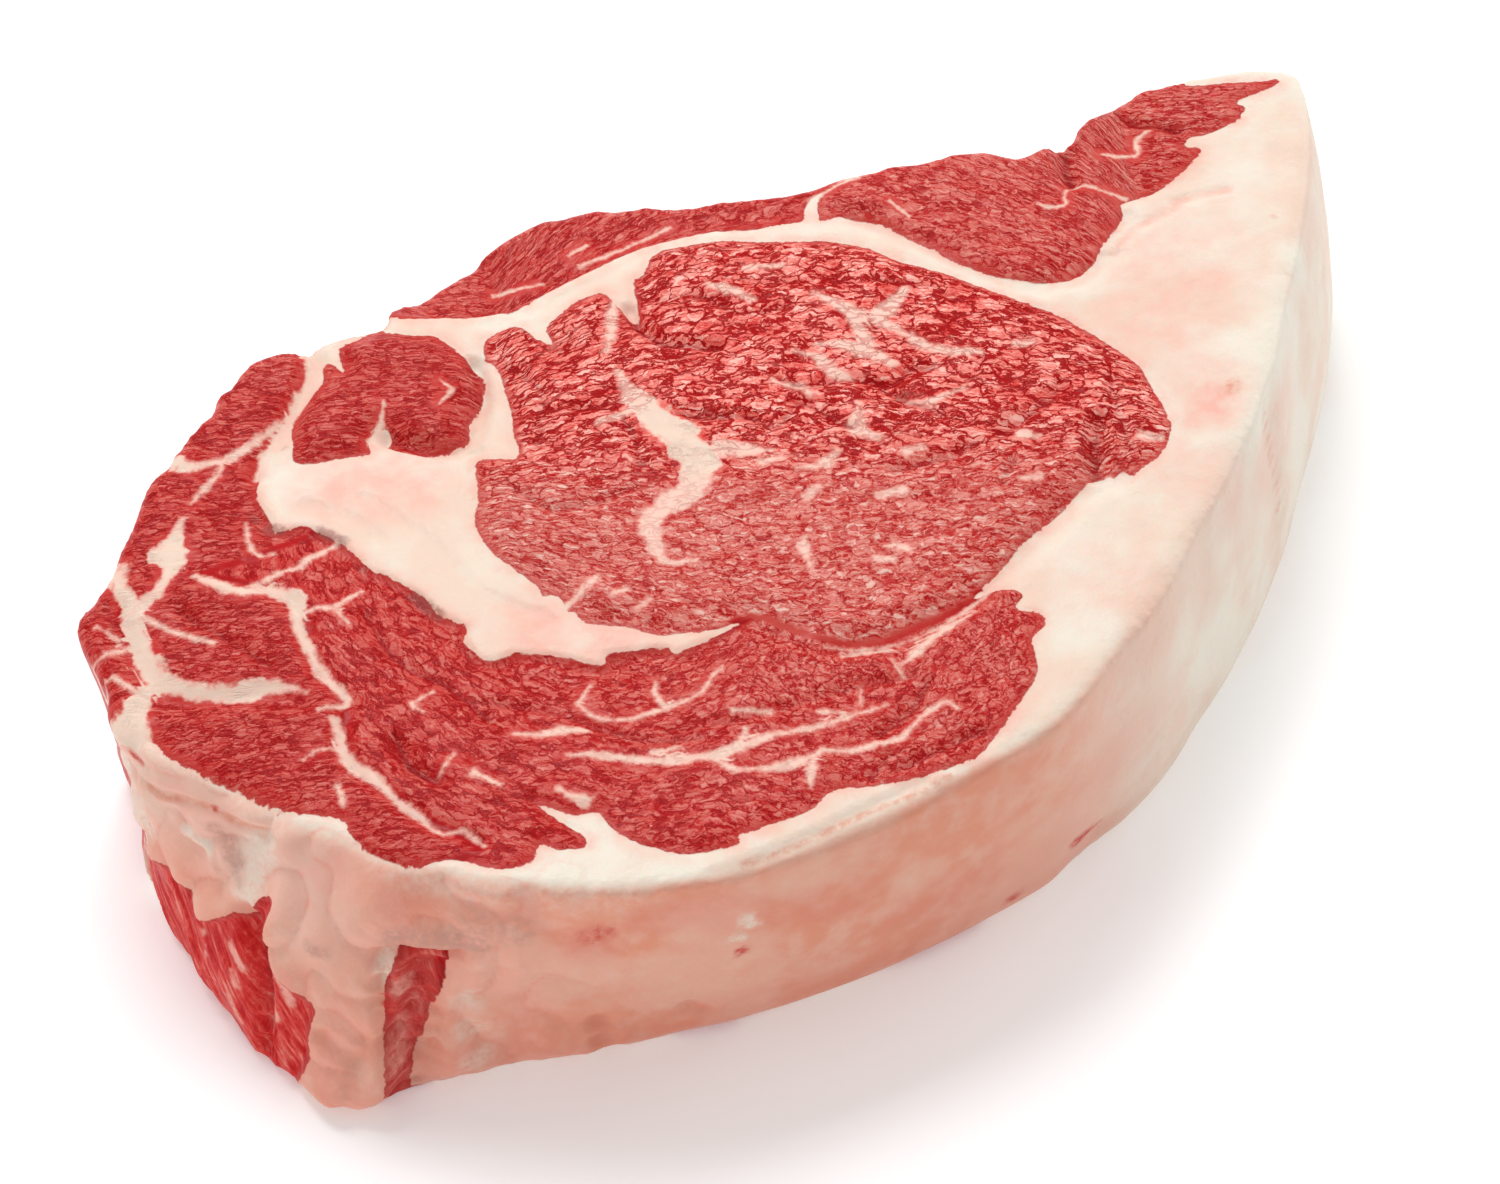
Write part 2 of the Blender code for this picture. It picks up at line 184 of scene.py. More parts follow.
EYE = [
    (-44.8, 17.5), (-42, 22), (-38.8, 28.2), (-34, 26.2), (-32.5, 27.5), (-31.8, 30.5), (-30, 34.5),
    (-29, 38), (-27.6, 43.5), (-28.2, 46), (-27, 49), (-25.5, 50), (-22, 50.5), (-20.3, 49.5),
    (-19.6, 46.5), (-18.2, 44), (-17.2, 47.5), (-14, 49.2), (-10, 50.5), (-6.5, 50), (-5.6, 46),
    (-4.6, 42.5), (-3.2, 45), (-1.2, 49.6), (1, 50.5), (4, 53.3), (7, 53.8), (10, 52.8),
    (15.4, 50.6), (20.7, 47.2), (25.4, 44.6), (28.3, 43), (32.6, 39.1), (35.9, 33.4), (39.7, 28.7),
    (43.5, 23), (47.8, 15.8), (50.2, 12), (53, 4.3), (54.7, -2.9), (54.2, -6.2), (52.8, -13.3),
    (51.6, -16.2), (49.2, -18.6), (46.9, -20), (44, -20.7), (41.6, -21.2), (41.1, -19.5),
    (39.2, -19.8), (37.8, -18.3), (35.4, -19), (29.2, -21.7), (20.7, -24.5), (16.4, -26.7),
    (9.7, -29.3), (5, -30.5), (0, -31), (-4, -31.3), (-7, -30.8), (-10.5, -29.5), (-15, -26),
    (-18, -21.5), (-20.5, -17.7), (-25, -17), (-30, -15), (-32.5, -14), (-36, -10), (-40, -7),
    (-40.5, -4.5), (-41.4, -3.5), (-41, -2), (-41.5, 0), (-43, 0.5), (-42.7, 2.5), (-44, 7),
    (-45.3, 12),
]
CAP = [
    (-67.5, 41.3), (-69.5, 37.5), (-69.7, 33), (-70, 30.5), (-67, 30), (-65.5, 29), (-64.5, 26.5),
    (-62.8, 23.5), (-61.5, 17), (-60, 15), (-57.5, 9), (-57, 5), (-54.8, 1), (-56.2, -1),
    (-56.2, -3), (-55.5, -5.5), (-54.2, -6.5), (-50.8, -7), (-46, -10.5), (-42, -14.5),
    (-40, -13.3), (-37, -14.5), (-32.5, -16.5), (-32, -18), (-27, -18), (-21.5, -17.6), (-19, -16),
    (-16, -19.5), (-13, -24), (-9, -28), (-4, -29.5), (1, -30), (6, -30), (13, -29.9),
    (15.5, -32.6), (13.2, -34.6), (15.6, -36.8), (15.3, -39), (12.2, -40.4), (11, -43), (9.5, -46),
    (6, -48.5), (3.5, -50), (-2, -53), (-6, -54.7), (-13, -54), (-20, -52.3), (-25.5, -50),
    (-30, -51.3), (-38, -50.8), (-40.3, -50.3), (-41.5, -51.6), (-46, -50.5), (-49, -49),
    (-51, -47), (-53, -44.5), (-54.5, -41), (-54.8, -38), (-55.8, -37), (-58, -36.2),
    (-60.5, -33), (-61.3, -32.2), (-60.6, -34.8), (-59.5, -37.5), (-58.5, -40), (-58.9, -41.7),
    (-60.5, -41.5), (-62.5, -40.5), (-64, -38.5), (-65, -39), (-66.5, -40.5), (-69, -40.3),
    (-71.5, -39), (-75.5, -35), (-79.5, -33.5), (-83, -30), (-85, -25), (-85, -21.5), (-86.5, -19.5),
    (-90.5, -15.5), (-94, -9), (-97, -3.5), (-100, 2), (-101, 6), (-105, 8), (-108, 14), (-108, 32),
    (-103, 37), (-94, 42), (-86, 50), (-76, 57), (-64, 64), (-52, 65), (-50.5, 60), (-51.5, 57.5),
    (-55.5, 53), (-60.5, 48.8), (-65.5, 44.5),
]
CHINE_MUSCLE = [
    (-46.3, 58.5), (-45, 59.3), (-41, 59.5), (-38.5, 58.8), (-35, 56), (-32.5, 54.5), (-31.5, 51.5),
    (-30.7, 48.5), (-30, 45), (-30.3, 42.5), (-32.8, 38.8), (-36, 36), (-38, 33), (-41, 32.7),
    (-46.5, 35), (-48.2, 36.5), (-48.5, 38), (-47.2, 39.3), (-47.5, 41), (-50, 40.3), (-51.8, 37.5),
    (-54, 38.2), (-59.5, 39.8), (-61.8, 41.5), (-60.5, 44.5), (-59.3, 47.5), (-57.5, 50),
    (-53, 52.8), (-51, 54), (-49.7, 57), (-48.4, 57.4), (-47.5, 54.5),
]
FINGER_MEAT = [
    (-31, 58.3), (-29.5, 58.8), (-28.2, 57.8), (-27.3, 56), (-25, 55), (-22, 54.3), (-20.5, 53.3),
    (-17.5, 53.6), (-13, 54.4), (-3, 55.5), (2, 55.8), (7, 55.4), (11, 55), (17, 52.2), (20, 50.8),
    (24, 49.8), (27.5, 48.7), (29.3, 50.8), (32, 52.4), (38, 53.2), (40, 56), (30, 60), (10, 70),
    (-5, 76), (-20, 73), (-34, 66), (-35.5, 61),
]
RIB_MEAT = [
    (30, 47.5), (33, 46.8), (35.2, 45), (38.3, 41.5), (40.2, 36.8), (42.2, 33.2), (43.5, 29.6),
    (46.9, 23.9), (50.9, 20.1), (53, 18.9), (57, 17.8), (61.2, 18.9), (64, 21), (70.3, 25),
    (71.6, 27.2), (74, 27.3), (77, 27), (80, 27.5), (85, 29.3), (88.8, 31), (89.3, 32.3),
    (87.5, 33.5), (89.5, 34.8), (92, 34.3), (97.5, 34.3), (99, 35), (100.8, 36.3), (100.3, 38),
    (104, 38.2), (108.5, 38.4), (109, 39.5), (107, 40), (104, 41.5), (101, 43), (96, 45.2),
    (92, 49), (60, 53), (45, 55), (34, 53),
]
MUSCLES = {"eye": EYE, "cap": CAP, "chine": CHINE_MUSCLE, "finger": FINGER_MEAT, "rib": RIB_MEAT}
PATH_STEP = 0.5  # between the points of a line that distances are taken from
WALL_SKIN = 1.5  # how far in from the rim the wall's pattern is taken


def nearest(places, samples):
    """The index of the sample nearest to each place, and how far off it is."""
    tree = KDTree(len(samples))
    for i, sample in enumerate(samples):
        tree.insert(Vector(sample).to_3d(), i)
    tree.balance()
    found = [tree.find(Vector(p).to_3d()) for p in places]
    return np.array([f[1] for f in found]), np.array([f[2] for f in found])


def inside_distance(places, outline):
    """How far each plan point is inside a closed outline, and below zero outside it."""
    loop = curve_through(outline, closed=True, step=PATH_STEP)
    inside = np.zeros(len(places), bool)
    for (ax, ay), (bx, by) in zip(loop, np.roll(loop, -1, 0)):
        if ay == by:
            continue
        crosses = (places[:, 1] > ay) != (places[:, 1] > by)
        inside ^= crosses & (places[:, 0] < ax + (places[:, 1] - ay) * (bx - ax) / (by - ay))
    return np.where(inside, 1.0, -1.0) * nearest(places, loop)[1]


def ease(value, start, end):
    """0 at start, 1 at end, with a smooth way between."""
    t = np.clip((value - start) / (end - start), 0.0, 1.0)
    return t * t * (3.0 - 2.0 * t)


def lumps(places, size, shift=0.0):
    """Smooth unevenness between -1 and 1, with lumps of about half the given size."""
    return np.array([noise.noise(Vector(p) / size + Vector((shift,) * 3)) for p in places])


# On the wall the pattern is that of the rim above it, as the muscles run straight through.
rim_line = wall_ring(THICKNESS - RIM_RADIUS)[:, :2]
rim_index = nearest(plan, rim_line)[0]
pulled_in = rim_line[rim_index] - outward_of(rim_line, 3)[rim_index] * WALL_SKIN
inside_rim = inside_distance(plan, rim_line)
pattern = np.where((inside_rim < WALL_SKIN)[:, None], pulled_in, plan)


# ---- The fat between and inside the muscles ------------------------------------------------------
# Firm white fat: thick seams where two muscles meet, and marbling inside them, down to threads.
# Each seam is a path on the cut face: x, y and the seam's width there.

SEAMS = [
    [(-91.8, 35.4, 1.2), (-93.4, 33.2, 1.9), (-93.4, 29.8, 2), (-93.6, 26.9, 3.2), (-94.7, 24.7, 3.3),
     (-95.4, 21.4, 3.3), (-95.7, 18.5, 3.2), (-96, 15.3, 3), (-95.1, 13.2, 2.4), (-93.6, 11.5, 2),
     (-92.2, 9.7, 2), (-90.1, 8.2, 2.2), (-87.1, 6.5, 2.2), (-84.3, 5.1, 2.2), (-81, 3.1, 1.2),
     (-79.8, 1.6, 0.5)],
    [(-96.2, 15, 2.2), (-97.6, 14.4, 1.8), (-99.6, 13.2, 2.8), (-101, 11.1, 3), (-101.4, 8.5, 3),
     (-102, 6.6, 3)],
    [(-93.6, 27.5, 1.6), (-92.2, 27.4, 1.8), (-90.6, 28.2, 1.5), (-87.5, 30, 1.7), (-85.5, 32, 3),
     (-84.7, 33.7, 4.8), (-83.5, 35.5, 3.4), (-82, 37.2, 1.2), (-81, 38.3, 0.6)],
    [(-100.1, 22.9, 0.8), (-97.2, 23, 0.7)], [(-100.6, 18.4, 0.6), (-99.2, 15, 0.8)],
    [(-98.6, 27.6, 0.5), (-97.4, 25.4, 0.5)],
    [(-49, 61, 4), (-51, 57.5, 2.5), (-52.5, 55.5, 2), (-55, 53, 2), (-57.5, 51, 1.6),
     (-60, 48.8, 1.8), (-62.5, 46.5, 2), (-65, 44.5, 1.8), (-67, 42.5, 1.5)],
    [(-76.5, 51.5, 2), (-76, 48, 2), (-73, 47.2, 1), (-69, 47, 1), (-65, 48, 1), (-61.5, 49.3, 0.9),
     (-59, 50.5, 0.6)],
    [(-70.8, 46.7, 0.8), (-72.2, 44.8, 0.7), (-75, 43.3, 0.7), (-77.9, 41.4, 0.4)],
    [(-83.4, 27.6, 0.6), (-82.8, 26.5, 1), (-81.9, 25.2, 1.5), (-80.6, 23.6, 1.8), (-79, 21.6, 1.6),
     (-76.1, 21.2, 1.3), (-74, 19.2, 1.4)],
    [(-75.5, 20, 1.2), (-73, 17.5, 2.2), (-75, 13, 1.8), (-75.5, 10, 1.6), (-76, 6, 1.4),
     (-76.2, 3, 1.2), (-75.8, 1, 1.1), (-75.3, -1.5, 1), (-75.7, -3.5, 0.8), (-79, -3.2, 0.5)],
    [(-77.5, 22.5, 0.6), (-73.5, 22.8, 0.8), (-70.5, 22.5, 0.9), (-68.5, 23.5, 0.8), (-63.5, 24.3, 0.7)],
    [(-73, 14.5, 0.8), (-71, 14, 0.7), (-69.5, 13, 0.8), (-67, 13.8, 0.7), (-65, 14.3, 0.4)],
    [(-69.5, 12.8, 0.6), (-69, 10, 0.4)],
    [(-78.5, -6, 1.2), (-79, -8.5, 1.3), (-79.8, -11, 1.4), (-79.8, -14, 1.4), (-79, -16, 1.4),
     (-78, -18.5, 1.3), (-77.5, -21.5, 1.1), (-77, -23.5, 1), (-76, -26, 1), (-75.3, -29, 0.9),
     (-74.5, -30.5, 0.8), (-72, -31, 0.6), (-71.3, -33, 0.6), (-70.8, -34.5, 0.4)],
    [(-92.8, 25.6, 0.8), (-91.3, 22.8, 0.7), (-90.2, 20.9, 0.6), (-88.8, 18.8, 0.6), (-86.9, 16.4, 0.4)],
    [(-84.5, -9.3, 0.4), (-82.5, -9, 0.6), (-80.5, -10, 0.6)],
    [(-73, 34, 0.3), (-74.3, 30, 0.6), (-74, 27.5, 0.6), (-72.5, 27, 0.4)],
    [(-67.5, -10, 0.3), (-68, -8.5, 0.5), (-65, -7.8, 0.3)],
    [(-70, -21, 0.4), (-67.5, -19.5, 0.6)], [(-66, -24, 1), (-64.5, -26.5, 0.6)],
    [(-83.2, -16.5, 0.5), (-83.8, -19, 0.7)], [(-57.5, -32.5, 0.8), (-56, -35, 1.4)],
    # the chine muscle
    [(-50, 39.5, 1.6), (-48, 41.5, 0.8), (-46, 44, 0.4)],
    [(-36.3, 44, 0.3), (-35.8, 42, 0.6), (-38.5, 40.3, 0.4)],
    # the cap in front of the eye
    [(-53.4, -27.5, 0.5), (-51.5, -28.5, 0.8), (-48, -31, 1.1), (-44.5, -33.5, 1.1),
     (-41.5, -35.2, 1.3), (-38, -36.5, 1.3), (-35, -37.5, 1.5), (-32, -37.5, 1.4), (-28, -38, 1.1),
     (-24, -39.2, 0.9), (-20, -40, 0.9), (-16, -40.5, 0.7), (-12.5, -40.8, 0.4)],
    [(-33, -37.3, 1.2), (-31, -35.5, 0.6)],
    [(-36.5, -38.5, 0.8), (-35.5, -40.5, 0.9), (-33, -42, 1), (-29.5, -43.5, 1.1), (-26, -44, 1),
     (-23.5, -43.8, 0.8), (-20.5, -45.3, 0.9), (-17, -46.3, 0.9), (-13.5, -47, 0.8),
     (-11, -46.2, 0.8), (-9, -45.2, 0.7), (-6.5, -44.8, 0.7), (-4.5, -44.7, 0.6), (-4, -46, 0.4)],
    [(-25.5, -44.5, 0.9), (-27, -46.5, 0.9), (-28, -48, 0.5)],
    [(-48, -20.5, 0.5), (-47.5, -22.5, 0.6), (-45.5, -24.5, 0.6), (-42.5, -25.8, 0.6),
     (-39, -26, 0.7), (-35, -26.3, 0.6), (-32, -25.8, 0.6), (-30, -24.3, 0.6), (-28, -23.5, 0.4)],
    [(-38, -25.5, 0.8), (-38, -23, 0.8), (-37.2, -21.5, 0.4)],
    [(-58, -20.5, 0.6), (-55, -22, 1.1), (-52, -23, 1.2), (-50, -24, 0.6)],
    [(-47.5, -19, 0.7), (-45.5, -17.5, 0.4)], [(-30, -31.5, 0.5), (-26.8, -33.5, 0.7)],
    [(-43, -32.8, 0.8), (-40.5, -33.2, 0.4)], [(-11.5, -30, 0.5), (-9, -31, 0.7), (-6, -32.3, 0.6)],
    [(-7, -37, 0.5), (-7, -35, 0.5)], [(-13.5, -37, 0.4), (-14.5, -38.5, 0.5)],
    [(-20, -38, 0.6), (-17.5, -39.5, 0.4)],
    [(-6, -35.8, 0.5), (-3.6, -35, 1), (-0.3, -33.5, 1.1), (3.5, -32.8, 1), (7.3, -32.3, 0.6)],
    # the membrane below the eye
    [(-13, -27.6, 0.3), (-8, -30.6, 0.5), (-2, -32, 0.6), (5, -31.4, 0.6), (11, -29.9, 0.6),
     (17, -27.4, 0.6), (24, -24.7, 0.7), (32, -21.8, 0.8), (38, -19.6, 1)],
    # the eye: a fork of fat, then the marbling
    [(-13, 33, 0.6), (-13.3, 29.5, 2), (-13.5, 25, 4), (-12.5, 21, 5.5), (-11.5, 16, 5),
     (-11.2, 11.5, 5), (-14.5, 8, 3.5), (-20, 6.3, 2.8), (-23.5, 5, 2.4), (-24.7, 1.5, 2),
     (-25.5, -3, 1.5), (-22, -5, 0.7)],
    [(-7.5, 12, 2), (-4.5, 10.3, 1.6), (-2, 8.5, 0.8)], [(-41, -2.8, 1), (-36, -1.3, 0.8)],
    [(-34.6, -5, 0.7), (-33.4, -5, 0.7)], [(-32.5, -8.5, 0.6), (-31.5, -8.3, 0.6)],
    [(20.5, 32.5, 0.8), (22, 29.5, 1.5), (23.2, 27, 2.2), (22.5, 24, 1.9), (22, 20, 1.4)],
    [(33, 27.5, 0.8), (28, 25, 2), (26, 24, 1.6), (27, 21, 1.3), (28.5, 18, 1.2), (29.5, 15, 1.4),
     (31.5, 12.5, 1.5), (34.5, 10.5, 1)],
    [(12.5, 23.3, 0.6), (14, 21.5, 1.4), (14.5, 18, 1.5), (16, 15.5, 0.8)],
    [(16, 23.5, 0.6), (19, 21.5, 1.4), (21, 18.5, 1.8), (22.5, 15.5, 1)],
    [(6.5, 20, 0.6), (8.5, 18, 1.5), (9, 15.5, 0.8)], [(15, 43, 1.2), (19, 41, 0.8)],
    [(8, 42, 0.8), (10, 40, 1.5), (11.3, 37.5, 0.9)],
    [(-5.5, 48, 0.6), (-8, 44, 1.4), (-10, 41, 1.5), (-12, 38.5, 0.7)],
    [(-20, 25.3, 0.6), (-15.5, 25.5, 0.9)], [(0.5, 3, 0.6), (4, 2, 1.2), (6, 3, 0.6)],
    [(14, 9.5, 0.7), (11.5, 6, 2), (13, 3, 0.9)],
    [(20.5, 8, 0.4), (22, 6, 0.8), (24.5, 5, 0.8), (29, 5.2, 0.5)],
    [(16, -2, 1.2), (17, -2, 1)], [(8, -7.3, 1.1), (10, -7.8, 1.3)], [(-1, -2, 1), (0, -1.6, 0.8)],
    [(-3, 6.5, 1.2), (-1.5, 6.2, 0.8)], [(41.5, 9, 1.1), (42.6, 8.4, 0.9)],
    [(32.2, -7.2, 1.3), (33, -8, 1)], [(27.4, -14.8, 0.8), (28.6, -15.4, 1)],
    [(47.4, -16.2, 1), (48.6, -16.8, 0.8)], [(4.6, -17, 1), (5.4, -18.2, 0.8)],
    [(1, -17.8, 0.9), (2, -18.4, 0.7)],
    [(-8, -14, 0.5), (-7.2, -10.5, 1.3), (-6.5, -9.5, 0.5)],
    # the rib meat, the finger meat and the tail
    [(72.5, 28.5, 0.7), (70.5, 31, 0.7), (69, 33, 0.7), (67, 34, 0.7), (65, 33, 0.7),
     (63.8, 31, 0.7), (61.5, 31.5, 0.6), (60.5, 32.8, 0.4)],
    [(28.3, 48.3, 1), (30, 50.5, 0.8), (32, 52, 0.8), (38, 52.8, 0.8), (43, 52.5, 1)],
    [(41, 44.5, 0.5), (41.8, 41.5, 0.4)],
    [(75.5, 37.5, 0.5), (77, 36, 0.8), (79.5, 35, 0.9), (80.5, 36.5, 0.9), (81.5, 38, 0.8),
     (84, 38.8, 0.5)],
    [(-18, 62, 0.8), (-12, 60.5, 0.7)], [(-4, 60.3, 0.8), (3, 59.8, 0.7), (10, 59.8, 0.6)],
    [(-4.5, 63.3, 0.7), (-2.5, 63.7, 0.7)],
]
VEIN_STEP = 0.3  # between the samples of a seam's path
END_ROOM = 0.6  # the points of the mesh stand about this far apart

samples = []  # x, y, width, and the direction of the path
for path in SEAMS:
    curve = curve_through(path, closed=False, step=VEIN_STEP)
    tangent = np.gradient(curve[:, :2], axis=0)
    tangent /= np.linalg.norm(tangent, axis=1, keepdims=True)
    samples.append(np.column_stack([curve, tangent]))
samples = np.vstack(samples)
vein_index, reach = nearest(pattern, samples[:, :2])
beside = pattern - samples[vein_index, :2]
vein_width = samples[vein_index, 2]

surface_values = {
    "vein_side": samples[vein_index, 3] * beside[:, 1] - samples[vein_index, 4] * beside[:, 0],
    "vein_reach": reach,
    "vein_half": vein_width / 2.0,
}
depth_in = {name: inside_distance(pattern, outline) for name, outline in MUSCLES.items()}
lean = np.max(list(depth_in.values()), axis=0)


# ---- The relief of the cut face ------------------------------------------------------------------
# Cut muscle swells over the fat beside it, and its bundles of fibres stand as small soft islands
# with smooth valleys between them. Folds and seams are furrows. The finger meat lies low behind a
# ridge of fat, and the hard fat kernel stands over the cap.

DOMES = {"eye": (1.1, 5), "cap": (0.5, 3), "chine": (1.4, 4), "rib": (0.7, 4)}
FAT_RIDGE = [(-37, 61), (-30, 58), (-23, 54.6), (-13, 54.6), (2, 56), (14, 54), (24, 50), (33, 47.5)]
FINGER_DROP = [(-36, 0), (-29, 4.2), (-18, 5), (0, 3.6), (15, 2), (31, 0)]  # x, depth
KERNEL_EDGE = [
    (-67.5, 41), (-70, 34), (-64.5, 26.5), (-58.5, 12), (-56, -3), (-50, -8), (-42, -14.5),
    (-32, -18),
]
KERNEL_STEP = 1.0
KERNEL_FADE = 16.0
LEFT_SLOPE = 3.0  # how much lower the top lies at the left rim
LEFT_SLOPE_FROM, LEFT_SLOPE_TO = -78.0, -106.0
FAT_LUMPS, LEAN_LUMPS = 0.15, 0.45
SMALL_LUMPS, SMALL_LEAN_LUMPS, TINY_LEAN_LUMPS = 0.04, 0.13, 0.06
BORDER_DEPTH = 0.22  # of the dip where lean meets fat

# Furrows: width, depth, how much shade is painted into them, then their path.
FURROWS = [
    (3, 0.9, 0.2, [(-19.5, -19), (-14, -27.5), (-7, -31), (0, -31.6), (15, -28.7), (30, -22.3),
                   (40, -20.5)]),
    (3.2, 1, 0, [(-96, 30), (-97, 20), (-95.5, 10.5), (-86.5, 5), (-81, 0)]),
    (2.4, 0.8, 0.1, [(-76, 21), (-73.5, 15), (-76, 6), (-75.5, -3)]),
    (2.4, 0.8, 0.2, [(-75.5, -3), (-79.5, -12), (-76, -26), (-71, -34)]),
    (2.6, 1, 0.1, [(-50, 59), (-57, 51), (-67, 42)]),
    (2.2, 1.4, 0.3, [(-48, 39), (-40, 31.5), (-33, 38), (-30, 46)]),
    (1.2, 0.9, 1, [(-39.5, 30.8), (-38.4, 30.3), (-37.6, 30.8)]),
    (1.8, 1.4, 1, [(-4.6, 45), (-4.8, 40), (-4.3, 37), (-3, 35), (-1, 33.8), (1.5, 31.8), (3, 31)]),
    (1.8, 0.8, 0.8, [(-9, 22), (-6, 19.3), (-3, 17.5), (0, 15.5), (0.8, 12.5), (3, 12.5), (6.5, 14.5),
                     (8.5, 12.5), (10, 8.5), (11.5, 6.5)]),
    (1.8, 0.8, 0.8, [(7.5, 20.5), (10, 17.3), (14, 16), (18, 13.5), (21, 11.5), (25, 12.5), (28, 11)]),
    (1.6, 0.6, 0.8, [(19, 13), (20, 9), (24, 2)]),
    (1.8, 0.7, 0.7, [(12, -4), (15.5, -4.5), (20, -5.4), (25, -5)]),
    (2, 0.8, 0.7, [(29, -5.2), (31, -4.8), (36, -3.5), (42, -1.5)]),
    (1.5, 0.7, 0.8, [(24, -14), (26, -12.2), (28, -11)]),
    (2.8, 1.8, 0.7, [(37.5, -18.5), (40, -14), (43, -10.5)]),
    (1.6, 0.6, 0.5, [(44, -17), (46, -11), (49, -4)]),
    (1.5, 0.6, 0.6, [(30, 32), (33, 29), (37, 26), (38, 22)]),
    (1.4, 0.5, 0.6, [(-26, 43), (-24.5, 36), (-27, 31), (-30, 26)]),
    (1.4, 0.5, 0.6, [(-22, 30), (-18, 28), (-17, 22), (-19, 15)]),
    (1.4, 0.5, 0.6, [(0, 44), (6, 41), (9, 35), (16, 33)]),
    (1.4, 0.5, 0.5, [(-37, 20), (-34, 14), (-28, 12), (-22, 12)]),
    (2, 0.9, 0.8, [(-15, -44.7), (-10, -43.5), (-5, -40.5)]),
    (1.6, 0.7, 0.7, [(-20, -50.5), (-16, -48.7)]),
    (1.6, 0.7, 0.7, [(-17, -51), (-8, -51.5), (-3, -51.2)]),
    (1.8, 0.6, 0.4, [(-40, -30), (-28, -33.5), (-16, -35.5), (-6, -38)]),
    (1.5, 0.5, 0.5, [(-60, -12), (-52, -19), (-44, -29.5), (-36, -33.5)]),
    (2.2, 1.2, 0.9, [(-71, -22), (-73, -18), (-72.5, -13)]),
    (1.6, 0.6, 0.6, [(-66, 10), (-66, 0), (-62, -8), (-60, -16)]),
    (1.5, 0.6, 0.6, [(-88, 24), (-84, 14), (-82, 8)]),
    (2.2, 1.5, 1, [(70.5, 44), (70.3, 41), (68.5, 38), (67.5, 35)]),
    (2, 1, 1, [(83, 42), (83.5, 41), (86, 39.5), (88.5, 37)]),
    (3, 0.7, 0, [(71, 24), (62, 17.5), (53, 18), (48, 20.5), (43, 29), (41, 35), (35, 45)]),
    (1.6, 0.7, 0, [(-47, -54.6), (-37, -55.3), (-25, -55.1), (-14, -54.9)]),
    (1.6, 0.35, 0, [(65, 19.5), (71, 22), (78, 22.5), (80, 23.7), (88, 22)]),
    (2.2, 0.5, 0, [(-30, 59), (-20, 55.2), (-8, 57), (4, 57.3), (14, 55.4)]),
    (2, 0.35, 0, [(-24, 52.4), (-12, 52.3), (0, 54.2), (12, 54)]),
    (2, 0.4, 0, [(-64, 33), (-60, 28), (-58, 22)]),
    (1.8, 0.35, 0, [(-56, 30), (-52, 18), (-50, 6), (-44, -4)]),
]

# The islands of fibres, longer along the eye and through the slice. Their lines draw together
# towards the eye's ends.
ISLAND = 4.5
ISLAND_BENDS = ((1.6, 4.0), (0.7, 1.7))  # how far its edges stray, over what length
noise.seed_set(1)  # the bends are then the same at each run
EYE_MIDDLE = (7.0, 1.0)
EYE_AXIS = (0.903, -0.431)
EYE_REACH = 62.0
NARROWEST = 0.6
GRAIN_STRETCH, HEIGHT_STRETCH = 0.5, 0.4
VALLEY_DEPTH = 0.42

# In the cap the fibres run round the eye instead, right of the seam at CAP_START.
CAP_START = [(-200, -50), (-71, -35), (-77, -23), (-79.8, -11), (-75.7, -3), (-75.5, 10), (-73, 17),
             (-74, 19), (-83, 28), (200, 29)]  # plan x, y, from front to back
TURN = 34.0  # mm of grain for each radian round the eye

off_x, off_y = pattern[:, 0] - EYE_MIDDLE[0], pattern[:, 1] - EYE_MIDDLE[1]
along = off_x * EYE_AXIS[0] + off_y * EYE_AXIS[1]
squeeze = np.sqrt(1.0 - np.minimum((along / EYE_REACH) ** 2, 1.0 - NARROWEST**2))
grain_across = (off_y * EYE_AXIS[0] - off_x * EYE_AXIS[1]) / squeeze
grain_along = along * GRAIN_STRETCH
cap_start = np.interp(pattern[:, 1], [y for _, y in CAP_START], [x for x, _ in CAP_START])
in_cap = (depth_in["cap"] > depth_in["eye"]) & (pattern[:, 0] > cap_start)
grain_across = np.where(in_cap, depth_in["eye"], grain_across)
grain_along = np.where(in_cap, TURN * np.arctan2(off_x, -off_y), grain_along)

# Faces where the two grains meet carry no fibre pattern.
corners = np.empty(3 * len(steak_mesh.polygons), int)
steak_mesh.polygons.foreach_get("vertices", corners)
corners = corners.reshape(-1, 3)
mixed = in_cap[corners].any(1) & ~in_cap[corners].all(1)
plain = np.zeros(len(points))
plain[corners[mixed]] = 1.0
surface_values.update({"grain_across": grain_across, "grain_along": grain_along, "plain": plain})


def island_edge(place):
    """How far a place is from the edge of its island of fibres, in mm."""
    bent = straight = Vector(place)
    for far, length in ISLAND_BENDS:
        bent = bent + far * noise.noise_vector(straight / length)
    gaps = noise.voronoi(bent / ISLAND)[0]
    return (gaps[1] - gaps[0]) * ISLAND


def mound(gap, radius):
    """1 in the middle, round, and 0 from the radius on."""
    return np.clip(1.0 - (gap / radius) ** 2, 0.0, None)


height = points[:, 2]
inside_foot = inside_distance(plan, wall_ring(FOOT_RADIUS)[:, :2])
inside_here = np.where(height > THICKNESS - RIM_RADIUS, inside_rim, 0.0)
inside_here = np.where(height < FOOT_RADIUS, inside_foot, inside_here)

FAT_SIDE = ((-104.0, 4.0), (112.0, 40.5))  # the rim below this line is fat,
FAT_BAND = 1.0  # at least this wide
(ax, ay), (bx, by) = FAT_SIDE
fat_side = plan[:, 1] < ay + (plan[:, 0] - ax) * (by - ay) / (bx - ax)
lean = np.where(fat_side, np.minimum(lean, inside_here - FAT_BAND), lean)

